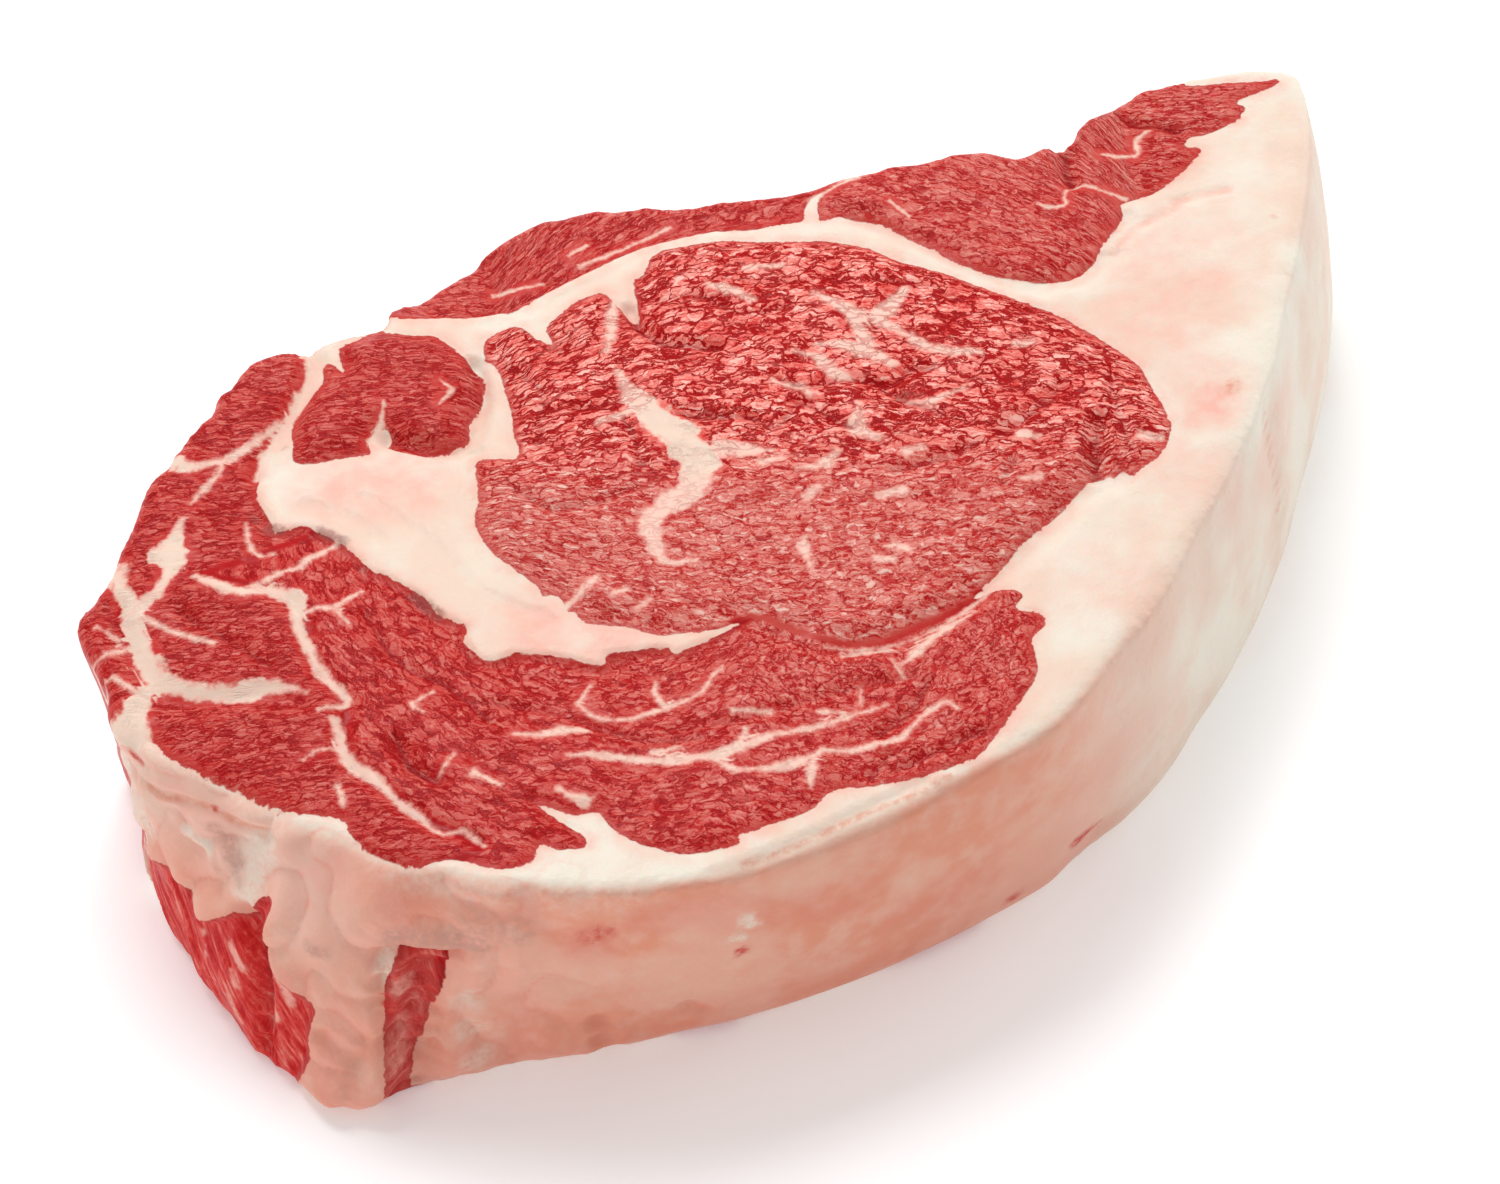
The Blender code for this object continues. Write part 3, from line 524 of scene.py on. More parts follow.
# The valleys are deepest in the coarse upper part of the eye, and fade out in wide patches.
fibre_places = np.column_stack([grain_across, grain_along, HEIGHT_STRETCH * height])
edges = np.array([island_edge(p) for p in fibre_places])
patches = lumps(np.column_stack([pattern, height]), 7.0, 3.0)
upper = ease(pattern[:, 1] + 0.5 * pattern[:, 0], -8.0, 18.0)
coarse = ease(depth_in["eye"], 0.0, 1.0) * (0.3 + 0.7 * upper)
coarse = np.maximum(coarse, 0.4 * ease(lean, 0.0, 1.0))
valley = (1.0 - ease(edges, 0.1, 1.5)) * ease(patches, -0.5, 0.35)
valley = np.maximum(valley, ease(patches, 0.3, 0.5) * 0.8) * coarse

furrow_samples = []
for width, depth, painted_shade, path in FURROWS:
    curve = curve_through(path, closed=False, step=PATH_STEP)
    tags = np.tile((width, depth, painted_shade), (len(curve), 1))
    furrow_samples.append(np.column_stack([curve, tags]))
furrow_samples = np.vstack(furrow_samples)
index, gap = nearest(pattern, furrow_samples[:, :2])
width, depth, painted_shade = furrow_samples[index, 2:].T
# Painted shade in the furrows, darkest along their middles.
painted_crease_shade = painted_shade * np.clip(1.0 - gap / (0.3 * width), 0.0, None)

rise = sum(h * ease(depth_in[name], 0.0, shoulder) for name, (h, shoulder) in DOMES.items())
from_kernel = nearest(plan, curve_through(KERNEL_EDGE, closed=False, step=PATH_STEP))[1]
rise -= KERNEL_STEP * (1.0 - ease(from_kernel, 0.0, KERNEL_FADE)) * ease(depth_in["cap"], -0.4, 1.2)
ridge = curve_through(FAT_RIDGE, closed=False)
behind = plan[:, 1] - np.interp(plan[:, 0], ridge[:, 0], ridge[:, 1])
within = (plan[:, 0] > ridge[0, 0]) & (plan[:, 0] < ridge[-1, 0])
drop = np.interp(plan[:, 0], *np.array(FINGER_DROP).T)
rise -= np.where(within, drop * ease(behind, -0.5, 3.5), 0.0)
rise -= mound(gap, width) ** 2 * depth
rise -= LEFT_SLOPE * ease(-plan[:, 0], -LEFT_SLOPE_FROM, -LEFT_SLOPE_TO)

fleshy = np.clip(lean, 0.0, 2.0) / 2.0
rise += (FAT_LUMPS + (LEAN_LUMPS - FAT_LUMPS) * fleshy) * lumps(points, 6.0)
rise += ((SMALL_LUMPS + SMALL_LEAN_LUMPS * fleshy) * lumps(points, 2.2, 7.0)
         + TINY_LEAN_LUMPS * fleshy * lumps(points, 1.1, 2.0))
rise -= VALLEY_DEPTH * valley
rise -= BORDER_DEPTH * ease(-np.abs(lean + 0.1), -0.8, 0.0)


# ---- The wall ------------------------------------------------------------------------------------
# The outside of the roast, trimmed with a knife: broad facets of hard fat with shallow ridges. At
# the front left the fat is torn open over the lean, which hangs in strands, and right of it are a
# thick smooth fold of fat, a groove and a shallow pocket under a flap.

# Swellings: x, y, z, radius, and how far they stand out.
SWELLINGS = [
    (-93.5, -38, 5, 9, 3.2), (-92, -34, 18, 7, 1.2), (-99, -12, 12, 12, 1.5),
    (-73, -40, 33, 9, 1.6), (-82, -33, 33, 6, 0.9), (-95, -15, 33, 6, -0.9),
    (-20, -56, 20, 26, 1), (96, 8, 18, 20, 0.6), (-8, 72, 16, 22, 0.6),
    (-52, 62, 20, 16, 1.2), (88, 47, 20, 18, 1), (-62, -47.5, 6, 6, 0.8),
]
GROOVE = [(-86.6, -34.3, 26), (-86.5, -35.2, 19), (-86.8, -37, 13), (-87, -37.6, 2)]
POCKET = [(-80.8, -37, 24), (-82, -37.5, 16), (-83.5, -38, 7), (-84.5, -39, 2)]
TORN_FOLD = [(-97.6, -16.4, 23.5), (-98.4, -18.4, 20.5), (-99.6, -21.2, 17), (-100.4, -23, 11),
             (-100.8, -24, 4)]
# Folds: width, depth (below zero for a ridge), how much shade is painted into them, then a path in
# space.
FOLDS = [
    (3.8, 3.2, 0, POCKET), (2.2, 2.2, 0.8, GROOVE), (2.8, 2.8, 1, TORN_FOLD),
    (1.6, 2, 1, [(-85.4, -35.4, 27), (-81.5, -36.6, 27.4), (-76.6, -38.6, 27.4)]),
    (2.2, 1.2, 0.3, [(-92, -34.2, 2), (-92.6, -36.5, 9), (-95.8, -32.5, 12.5)]),
    (2.6, 1.6, 0.5, [(-60.3, -46.9, 10), (-59.2, -46.9, 2)]),
    (1.8, 0.8, 0.4, [(-48.9, -51.4, 10.5), (-47.3, -51.8, 8)]),
    (3, 1.2, 0.3, [(16, -50.5, 0), (19, -50, 6)]),
    (1.8, 0.8, 0, [(-103, 4.5, 34.5), (-99.5, -2.6, 36), (-96.6, -8, 36.8), (-92.6, -16.5, 37.2)]),
    (1.5, -0.7, 0, [(-101.2, -3.5, 29.4), (-99.6, -7.5, 29.2), (-98.6, -9.5, 26.5)]),
    (2.6, 0.9, 0, [(64.5, -13.2, 41), (67, -15.6, 39), (68, -18.3, 33), (69.3, -19.4, 26),
                   (71.3, -19.6, 14)]),
    (5, -1, 0, [(32.1, -41, 40), (30.8, -43.5, 29), (30.4, -45.6, 18), (32, -45.5, 4)]),
    (3.2, 1.6, 0.3, [(-37.5, 60, 38), (-36.5, 61.5, 22), (-38, 62, 4)]),
    (3.4, 1.6, 0.3, [(72, 43, 38), (70.5, 43.5, 20), (71, 43.5, 4)]),
    (3, 1.2, 0.3, [(-75.5, 51.5, 36), (-78, 51, 20), (-76, 52, 5)]),
]
# On the front left wall, along the wall and height: the torn lean, the pocket, and a film of fat.
TORN_LEAN = [
    (-72, 25), (-66.6, 21.5), (-62.5, 16), (-57.2, 16.8), (-51, 18.4), (-46.1, 19.2), (-43.2, 17.8),
    (-37.9, 21.8), (-36.8, 23), (-34.9, 22.9), (-32.5, 28), (-30.3, 29.2), (-30.5, 25.6),
    (-30.9, 21.6), (-29.5, 20), (-27.9, 18.9), (-24.9, 17.2), (-21.4, 15.8), (-21.6, 12), (-21.5, 7),
    (-23.5, 0), (-24, -6), (-72, -6),
]
POCKET_MOUTH = [
    (-10.8, 27.4), (-6, 27.6), (-5.6, 24), (-6.2, 18), (-7.4, 11), (-8.2, 5), (-8.8, 1), (-11.2, 1),
    (-11.4, 8), (-12, 15), (-12.4, 21), (-11.8, 25),
]
FAT_FILM = [
    (-73, 27.5), (-70, 33), (-67.5, 35.5), (-65, 34.5), (-63, 36.5), (-60.5, 37.5), (-58, 39), (-50, 39),
    (-50, 21), (-57.2, 17.8), (-62.5, 17), (-66.6, 22.5), (-72, 26),
]

# A path on the wall is compared as seen from the front left, so that its depth hardly counts.
ALONG_X, ALONG_Y = 0.5, -0.87  # the plan direction along the front left wall
WALL_VIEW = np.array([(ALONG_X, 0.0, 0.26), (ALONG_Y, 0.0, 0.15), (0.0, 1.0, 0.0)])
TOP_VIEW = np.diag((1.0, 1.0, 0.3))
WALL_TOP = 38.0  # a path higher up is on the cut face


def gap_to(path):
    """How far each point is from a path, which may be one place."""
    line = np.array(path, float)
    if len(path) > 1:
        line = curve_through(path, closed=False, step=PATH_STEP)
    view = WALL_VIEW if line[:, 2].mean() < WALL_TOP else TOP_VIEW
    return nearest(points @ view, line @ view)[1]


out = FAT_LUMPS * lumps(points, 9.0)
for x, y, z, radius, standing in SWELLINGS:
    out += standing * mound(np.linalg.norm(points - (x, y, z), axis=1), radius)
for width, depth, painted_shade, path in FOLDS:
    gap = gap_to(path)
    out -= depth * mound(gap, width) ** 2
    painted_crease_shade = np.maximum(painted_crease_shade, painted_shade * np.clip(1.0 - gap / (0.4 * width), 0.0, None))

# Where the wall is torn open, where a film of fat lies over it, and where the pocket is.
OPEN_LEFT, OPEN_BACK = -60.0, 25.0  # left of this x and in front of this y
OPEN_DEPTH = 1.2  # inside the rim
ELSEWHERE = -9.0
along_wall = np.column_stack([ALONG_X * plan[:, 0] + ALONG_Y * plan[:, 1], height])
front_left = (plan[:, 0] < OPEN_LEFT) & (plan[:, 1] < OPEN_BACK) & (inside_rim < OPEN_DEPTH)
below_top = front_left & (height < WALL_TOP)
outer_left = front_left & (plan[:, 0] < CORNER_LEFT)
torn = np.where(below_top, inside_distance(along_wall, TORN_LEAN), ELSEWHERE)
filmed = np.where(outer_left, inside_distance(along_wall, FAT_FILM), ELSEWHERE)
pocket = np.where(front_left, inside_distance(along_wall, POCKET_MOUTH), ELSEWHERE)
lean = np.minimum(lean, -filmed)
lean = np.maximum(lean, np.maximum(torn, pocket))

# The torn lean hangs in long slanting strands.
STRAND_SLANT, STRAND_STRETCH = 0.9, 0.2
slanted = STRAND_SLANT * height
strand_along = STRAND_STRETCH * (along_wall[:, 0] - slanted)
strand = np.column_stack([along_wall[:, 0] + slanted, strand_along, np.zeros(len(points))])
torn_share = ease(torn, 0.0, 1.2)
out += torn_share * (0.7 * lumps(strand, 2.4, 5.0) - 0.5)
out += 0.3 * ease(filmed, -1.0, 1.0) * lumps(points, 3.0, 5.0)

# Round it the fat lies in soft lobes with sharp lines between them.
LOBE_SIZE, LOBE_DEPTH = 7.0, 3.0
folded = ease(-plan[:, 0], 56.0, 76.0) * (plan[:, 1] < 20.0) * (1.0 - torn_share)
lobes = np.abs(lumps(points * (1.0, 1.0, 0.7), LOBE_SIZE, 11.0))
out += LOBE_DEPTH * folded * (lobes - 0.2)


# ---- The finished mesh ---------------------------------------------------------------------------
# The relief of the cut face is full at the top and fades out down the wall, whose own relief points
# outwards. The foot stays flat. The mesh also holds what the flesh is at each of its points.

RELIEF_REACH = 16.0  # from the cut face down
sideways = normals * (1.0, 1.0, 0.0)
wallness = np.linalg.norm(sideways, axis=1)
shaped = points + sideways * (wallness * out)[:, None]
shaped[:, 2] += ease(height, THICKNESS - RELIEF_REACH, THICKNESS) * rise
shaped[:, 2] = np.where(height < FLAT_FOOT, 0.0, np.maximum(shaped[:, 2], 0.0))
shaped[:, :2] -= BOX_MIDDLE
steak_mesh.vertices.foreach_set("co", (shaped * MM).ravel())

# How pale the lean is with fine tissue and with the wet film's painted sheen.
PALENESS = {"eye": 1.0, "cap": 0.5, "chine": 0.25, "finger": 0.3, "rib": 0.55}
paleness = np.zeros(len(points))
for name, pale in PALENESS.items():
    paleness = np.maximum(paleness, pale * ease(depth_in[name], -1.0, 1.0))
left = ease(-pattern[:, 0], 20.0, 66.0) * ease(depth_in["cap"], -1.0, 0.0)
paleness *= 1.0 - 0.65 * left

# Marks on the surface: how strong, their radius, then a path in space. A path may be one place.
MARKS = {
    "blush_and_foot_shade": [
        (0.9, 5.5, [(57.6, -16.6, 41), (62, -14, 41)]), (0.5, 9, [(62, -10, 40)]),
        (0.5, 12, [(62, 4, 41)]), (0.4, 10, [(50, -24, 40)]), (0.5, 16, [(72, 12, 41)]),
        (0.7, 10, [(-58, 33, 41), (-50, 30, 41)]), (0.8, 9, [(-46, -5, 41), (-38, -12, 41)]),
        (0.7, 5, [(-13, 14, 41)]), (0.4, 4, [(-12, 24, 41)]), (0.3, 12, [(26, -36, 40)]),
        (0.2, 14, [(86, 26, 41)]),
        (0.8, 5, [(-62, -48.5, 29)]), (0.7, 5, [(-54, -52, 34), (-47, -55, 35)]),
        (0.55, 6, [(-44, -56, 31), (-30, -57, 27)]), (0.5, 8, [(-12, -56, 16), (4, -55, 12)]),
        (0.6, 6, [(-24, -55, 5), (-8, -55, 4), (12, -53, 4)]), (0.6, 7, [(-94, -37, 6)]),
        (0.5, 5, [(-82, -35, 36.5)]), (0.7, 5, [(-97, -26, 18), (-95, -29, 14)]),
        (0.5, 4, [(-90, -25, 37)]), (0.5, 4, [(-101.5, -1, 33)]), (0.5, 8, [(-68, -45, 8)]),
        (0.4, 7, [(20, -49, 20)]), (0.4, 6, [(65, -10, 36), (68, -18, 28)]),
        (0.7, 1.2, [(65, 19.5, 41), (71, 22, 41), (78, 22.5, 41), (80, 23.7, 41), (88, 22, 41)]),
    ],
    "cream": [
        (0.9, 4.2, [(-94, -14.5, 35), (-96, -14, 31.5), (-97.5, -15, 28)]),
        (0.9, 1.8, [(-101.2, -4, 29.8), (-99.6, -7.5, 29.4)]),
        (0.5, 2.8, [(-101.5, 5, 38.5), (-97, -2.2, 39), (-93.9, -8.4, 39.2), (-91.5, -14.6, 39.4),
                    (-88, -19, 40.2), (-84.4, -24.7, 40.6), (-82.5, -30, 40.6), (-77, -36, 41),
                    (-65, -45, 41), (-56, -50, 41)]),
        (0.25, 2.4, [(-56, -49.2, 41), (-48, -52, 41), (-38, -53.6, 41), (-20, -54.2, 41)]),
        (0.8, 5, [(-103.5, 13, 33), (-103.5, 12, 27), (-104, 7, 23)]),
        (1, 2.4, [(-85.6, -34.9, 25), (-85.3, -35.9, 22.5)]),
        (0.8, 1.4, [(-43.5, -55.3, 26)]), (0.8, 1.2, [(-42.3, -55.6, 31), (-41.5, -55.5, 28)]),
        (0.5, 3, [(-76, -40, 18), (-76.5, -41, 6)]),
    ],
    "pale": [
        (1, 1, [(-101.8, -16.4, 17.5), (-100.2, -18.3, 15.5)]),
        (0.9, 0.8, [(-102.8, -17.6, 13.5), (-102.2, -18.5, 12)]),
        (0.9, 0.9, [(-103.3, -10.5, 15), (-104, -11.4, 11)]),
        (1, 1.2, [(-98.6, -24, 18.6), (-97.8, -27, 15)]),
        (0.8, 0.9, [(-100, -24.1, 13.4), (-99.6, -25.6, 11)]),
        (0.9, 0.9, [(-103.8, -17.5, 8), (-103.2, -19.5, 5)]),
        (0.75, 2.4, [(-83.4, -36, 21), (-83.4, -36, 14), (-84.4, -37, 8)]),
    ],
    "stain": [
        (0.9, 1.2, [(-71, 32, 41), (-69.3, 30.8, 41)]), (0.9, 1.2, [(-64.5, 27.5, 41), (-62.5, 24, 41)]),
        (0.8, 0.9, [(-62.5, 18, 41)]), (0.9, 1.2, [(-58.5, 10, 41), (-57, 5, 41)]),
        (0.6, 0.8, [(-61.5, 45, 41)]), (0.7, 0.9, [(-71.5, 34, 41), (-71.6, 36, 41)]),
    ],
    "red": [
        (1, 1.3, [(-102.7, 17, 37.5), (-103.5, 13.2, 35.5), (-103.6, 10.9, 32.5)]),
        (0.9, 1.1, [(-102.7, 7.6, 37.9), (-101.5, 6.3, 38.1)]), (0.8, 1, [(-97, -6.4, 37.2)]),
        (0.5, 2.6, [(-62, -48.4, 30.5), (-60.5, -49, 32)]), (0.9, 1.2, [(-43.2, -55.2, 22.5)]),
        (0.9, 1.1, [(-86.2, -35.2, 20), (-86.8, -37.3, 13), (-87, -38, 2)]),
        (0.9, 1.4, [(17, -52, 7), (15, -52.3, 9)]), (0.8, 1.2, [(2, -54.6, 5)]),
        (0.4, 0.9, [(90.5, 13.5, 40)]),
    ],
    # Grey: painted shade along a fold, under the flap and in the pocket, and greyish fat.
    "grey_and_shade": [
        (0.7, 2.2, [(-97.7, -7.8, 33.9), (-97.4, -10.4, 32.4), (-98.1, -13.5, 28)]),
        (0.6, 1.6, [(-92.5, -29, 25.2), (-93.9, -26.9, 25.4)]),
        (0.8, 3.6, [(-84.5, -34.8, 29.8), (-80, -37, 30), (-75.5, -40.2, 30.5)]),
        (0.5, 5, [(-76, -40.5, 34), (-71.5, -43.5, 33)]),
        (0.7, 3, [(-82.8, -36.2, 17), (-83, -37, 9)]),
    ],
    "brown": [
        (0.7, 1.1, [(-103.1, 3.7, 34.5), (-101.7, 0.3, 34.2), (-99.3, -2.8, 36.5), (-97.2, -6.2, 37),
                    (-95.5, -10, 36.8), (-93.6, -13.7, 37.3)]),
        (0.7, 0.8, [(-42.5, -54.5, 40.4), (-36.9, -55.2, 40.3), (-26.1, -55.3, 40.3),
                    (-18.6, -55.6, 40.4), (-10.9, -55.6, 40.7)]),
        (0.6, 0.9, [(64, -13.2, 41.1), (67.2, -17.6, 37.9), (69.1, -19.2, 27.4), (71.3, -19.5, 16.1)]),
        (0.5, 1.4, [(-59.5, -47, 8), (-59, -47, 4)]), (0.5, 1, [(-57, 6, 41), (-55.7, -3, 41)]),
    ],
}
for kind, marks in MARKS.items():
    surface_values[kind] = np.zeros(len(points))
    for amount, radius, path in marks:
        share = mound(gap_to(path), radius)
        surface_values[kind] = np.maximum(surface_values[kind], amount * share)

# The fat is also pinker in the lines between the lobes, and low on the front wall it is darker and
# pinker: painted shade towards the foot.
LOBE_LINE, FOOT_SHADE_SHARE = 0.07, 0.6
in_line = folded * np.clip(1.0 - lobes / LOBE_LINE, 0.0, None)
painted_foot_shade = ease(-height, -16.0, -4.0) * ease(-plan[:, 0], -20.0, 5.0) * (plan[:, 1] < 0.0)
for pinker in (in_line, FOOT_SHADE_SHARE * painted_foot_shade):
    surface_values["blush_and_foot_shade"] = np.maximum(surface_values["blush_and_foot_shade"], pinker)

LEAN_LIMIT = 20.0
on_side = ease(WALL_SKIN - inside_here, 0.0, 1.5)
upper_corner = ease(-plan[:, 0], 82.0, 92.0) * ease(height, 18.0, 32.0)
soft_in_eye = ease(depth_in["eye"], 0.0, 1.5) * ease(vein_width, 5.2, 2.4)
soft_in_cap = 0.6 * ease(depth_in["cap"], 0.0, 1.5) * ease(vein_width, 2.0, 1.2)
surface_values.update({
    "lean": np.clip(lean, -LEAN_LIMIT, LEAN_LIMIT),
    "valley": valley,
    "coarse": coarse,
    "painted_crease_shade": painted_crease_shade,
    "paleness": paleness,
    "torn": np.maximum(torn_share, 0.5 * ease(pocket, 0.0, 1.0)),
    "softness": np.maximum(soft_in_eye, soft_in_cap),
    "skin": on_side * ease(-plan[:, 0], -46.0, 4.0) * (1.0 - 0.5 * upper_corner),
    "folded": on_side * folded,
    "side": on_side,
})
for name, values in surface_values.items():
    steak_mesh.attributes.new(name, "FLOAT", "POINT").data.foreach_set("value", values)
steak_mesh.shade_smooth()
steak_mesh.update()
steak = bpy.data.objects.new("ribeye_steak", steak_mesh)
bpy.context.scene.collection.objects.link(steak)


# ---- Raw beef ------------------------------------------------------------------------------------
# One wet surface over lean and fat. The lean is deep red, cracked into small flakes with pale glints,
# partly pale connective tissue and partly painted highlights of the wet film. The fat is cream, and
# pinker where it lies against lean. Which is which comes from the mesh's values, in mm, so that the
# borders stay sharp. Colours are linear. Shade is painted into the furrows and folds, under the flap,
# in the pocket and low on the front wall.

# The palest shades stand partly for painted highlights of the wet film.
LEAN_SHADES = [
    (0.0, (0.40, 0.002, 0.003)), (0.12, (0.53, 0.006, 0.008)), (0.3, (0.67, 0.035, 0.030)),
    (0.5, (0.78, 0.13, 0.105)), (0.75, (0.90, 0.27, 0.225)), (1.0, (1.0, 0.52, 0.44)),
]
LEAN_RED = (0.58, 0.022, 0.018, 1.0)
CREASE_SHADE_RED = (0.27, 0.004, 0.006, 1.0)
LEAN_STAIN = (0.26, 0.085, 0.075, 1.0)
FAT_CREAM = (0.86, 0.785, 0.67, 1.0)
FAT_BEIGE = (0.85, 0.65, 0.53, 1.0)
FAT_PINK = (0.90, 0.42, 0.34, 1.0)
FAT_ROSE = (0.88, 0.38, 0.31, 1.0)
FAT_VEIN = (0.93, 0.60, 0.50, 1.0)
FAT_SKIN = (0.80, 0.325, 0.215, 1.0)
FAT_FLUSH = (0.70, 0.20, 0.135, 1.0)
FAT_GREY_SHADE = (0.58, 0.30, 0.24, 1.0)
FAT_BROWN = (0.74, 0.27, 0.17, 1.0)
BORDER = 0.12  # half the width over which lean turns into fat
WET_FLESH = {
    "Subsurface Weight": 0.2, "Subsurface Radius": (1.0, 0.25, 0.15), "Subsurface Scale": 1.2 * MM,
    "Specular IOR Level": 0.05, "Coat Weight": 0.18, "Coat Roughness": 0.14, "Coat IOR": 1.4,
}
LEAN_ROUGHNESS, FAT_ROUGHNESS = 0.42, 0.5

beef = bpy.data.materials.new("raw_beef")
beef.use_nodes = True
nodes, links = beef.node_tree.nodes, beef.node_tree.links
surface = nodes["Principled BSDF"]


def feed(socket, value):
    """Gives a socket a number or a colour, or links another node's output to it."""
    if isinstance(value, bpy.types.NodeSocket):
        links.new(value, socket)
    else:
        socket.default_value = value


def node_of(kind, values, **settings):
    """A new node with its settings and its first inputs."""
    node = nodes.new("ShaderNode" + kind)
    for name, setting in settings.items():
        setattr(node, name, setting)
    for key, value in values.items():
        feed(node.inputs[key], value)
    return node


def calc(operation, *values):
    return node_of("Math", dict(enumerate(values)), operation=operation).outputs[0]


def plus(first, second):
    return calc("ADD", first, second)


def minus(first, second):
    return calc("SUBTRACT", first, second)


def product(*values):
    total = values[0]
    for value in values[1:]:
        total = calc("MULTIPLY", total, value)
    return total


def arrow(operation, *values):
    return node_of("VectorMath", dict(enumerate(values)), operation=operation).outputs[0]


def scaled(value, factor):
    return node_of("VectorMath", {0: value, "Scale": factor}, operation="SCALE").outputs[0]


def along_line(value, direction):
    return node_of("VectorMath", {0: value, 1: direction}, operation="DOT_PRODUCT").outputs[1]


def spot(across=0.0, along=0.0, up=0.0):
    return node_of("CombineXYZ", {0: across, 1: along, 2: up}).outputs[0]


def step(value, start, end, low=0.0, high=1.0):
    """low up to start and high from end on, with a smooth way between."""
    values = dict(enumerate((value, start, end, low, high)))
    return node_of("MapRange", values, interpolation_type="SMOOTHSTEP").outputs[0]


def part(name):
    """One of the values that the mesh holds."""
    return node_of("Attribute", {}, attribute_name=name).outputs["Fac"]


def cloudy(place, size, detail=2.0, roughness=0.5, flat=False):
    """Noise from about 0.2 to 0.8, with clouds of about the given size in mm."""
    values = {"Vector": place, "Scale": 1.0 / size, "Detail": detail, "Roughness": roughness}
    return node_of("TexNoise", values, noise_dimensions="2D" if flat else "3D").outputs["Fac"]


def cracks(place, size, width):
    """1 along the borders of random flat cells of the given size, 0 inside them, with the width in mm
    to each side of a border."""
    values = {"Vector": place, "Scale": 1.0 / size}
    edge = node_of("TexVoronoi", values, feature="DISTANCE_TO_EDGE", voronoi_dimensions="2D")
    return step(product(edge.outputs["Distance"], size), product(width, 0.25), width, 1.0, 0.0)


def tinted(share, base, tint):
    return node_of("Mix", {0: share, 6: base, 7: tint}, data_type="RGBA").outputs[2]


def shaded(value, shades):
    """A colour between the given shades, each with its place on the way."""
    node = node_of("ValToRGB", {0: value})
    steps = node.color_ramp.elements
    for at, _ in shades[1:-1]:
        steps.new(at)
    for stop, (at, shade) in zip(steps, shades):
        stop.position, stop.color = at, (*shade, 1.0)
    return node.outputs[0]


def blended(share, low, high):
    """A number between low and high."""
    return node_of("Mix", {0: share, 2: low, 3: high}, data_type="FLOAT").outputs[0]


in_metres = node_of("TexCoord", {}).outputs["Object"]
place = arrow("ADD", scaled(in_metres, 1.0 / MM), (*BOX_MIDDLE, 0.0))

# The fibres run through the steak from face to face, so their pattern is flat. The mesh holds where
# each place is across the fibres and along them.
height_here = node_of("SeparateXYZ", {0: place}).outputs[2]
grain_along = plus(product(part("grain_along"), 0.95), product(height_here, 0.28))
grain = spot(part("grain_across"), grain_along)
bend = node_of("TexNoise", {"Vector": place, "Scale": 0.7, "Detail": 3.0}).outputs["Color"]
grain = arrow("ADD", grain, scaled(arrow("SUBTRACT", bend, (0.5, 0.5, 0.5)), 1.6))

# Lean or fat: the outlines and seams get ragged edges, softer in the finest marbling.
broad = cloudy(place, 15.0, 3.0)
patchy = cloudy(place, 4.5, 3.0, 0.55)
tooth = minus(cloudy(place, 1.2, 4.0, 0.65), 0.5)
inside_outline = plus(part("lean"), product(tooth, step(patchy, 0.4, 0.65, 0.4, 1.5)))
lean_share = step(inside_outline, -BORDER, BORDER)
near_lean = calc("MAXIMUM", inside_outline, -6.0)

soft = part("softness")
vein_half = product(part("vein_half"), step(patchy, 0.3, 0.65, 1.5, 0.8), blended(soft, 1.1, 1.4))
off_path = calc("ABSOLUTE", part("vein_side"))
off_vein = calc("MAXIMUM", off_path, minus(part("vein_reach"), END_ROOM))
in_vein = plus(minus(vein_half, off_vein), product(tooth, blended(soft, 1.3, 1.8)))
vein_share = step(in_vein, blended(soft, -0.3, -0.5), blended(soft, 0.4, 0.6))

# Lean: the wet ends of the fibres run from deep red to pale pink, the palest partly a painted sheen of
# the wet film. Dark cracks part them into flakes, wide ones on the coarse grain and fine ones
# elsewhere, with a painted highlight along one side of each fine crack. Close to fat it is smoother
# and redder, and on the wall plainer.
coarse = part("coarse")
painted_crease_shade = part("painted_crease_shade")
paleness = part("paleness")
valley = calc("MAXIMUM", product(part("valley"), 0.5), step(part("valley"), 0.5, 0.8))
swaying = arrow("ADD", grain, spot(product(patchy, 2.5)))
near_fat = calc("MAXIMUM", step(inside_outline, 0.0, 2.2, 1.0, 0.0), step(in_vein, -1.8, -0.5))
smooth_part = product(near_fat, step(patchy, 0.35, 0.6), blended(soft, 0.9, 0.2))
core = product(minus(1.0, smooth_part), minus(1.0, part("plain")))
core = product(core, blended(part("side"), 1.0, 0.5))
speckle = step(cloudy(grain, 0.5, 2.0, 0.6, flat=True), 0.3, 0.7, -0.5, 0.5)
fold = minus(cloudy(swaying, 2.8, 4.0, 0.62, flat=True), 0.5)
off_fold = calc("ABSOLUTE", fold)
fold_half = step(tooth, -0.15, 0.15, 0.06, 0.016)
wide_gaps = step(off_fold, product(fold_half, 0.3), fold_half, 1.0, 0.0)
wide_gaps = product(wide_gaps, blended(coarse, 0.15, 1.0))
valleys = product(step(off_fold, 0.02, 0.085, 1.0, 0.0), coarse)
cell_gaps = cracks(swaying, 2.2, step(tooth, -0.2, 0.15, 0.3, 0.08))
cell_gaps = product(cell_gaps, blended(coarse, 0.1, 1.0))
gaps = product(calc("MAXIMUM", wide_gaps, cell_gaps), core)
fine = minus(cloudy(grain, 0.9, 2.0, 0.5, flat=True), 0.5)
fine_gaps = step(calc("ABSOLUTE", fine), 0.01, 0.05, 1.0, 0.0)
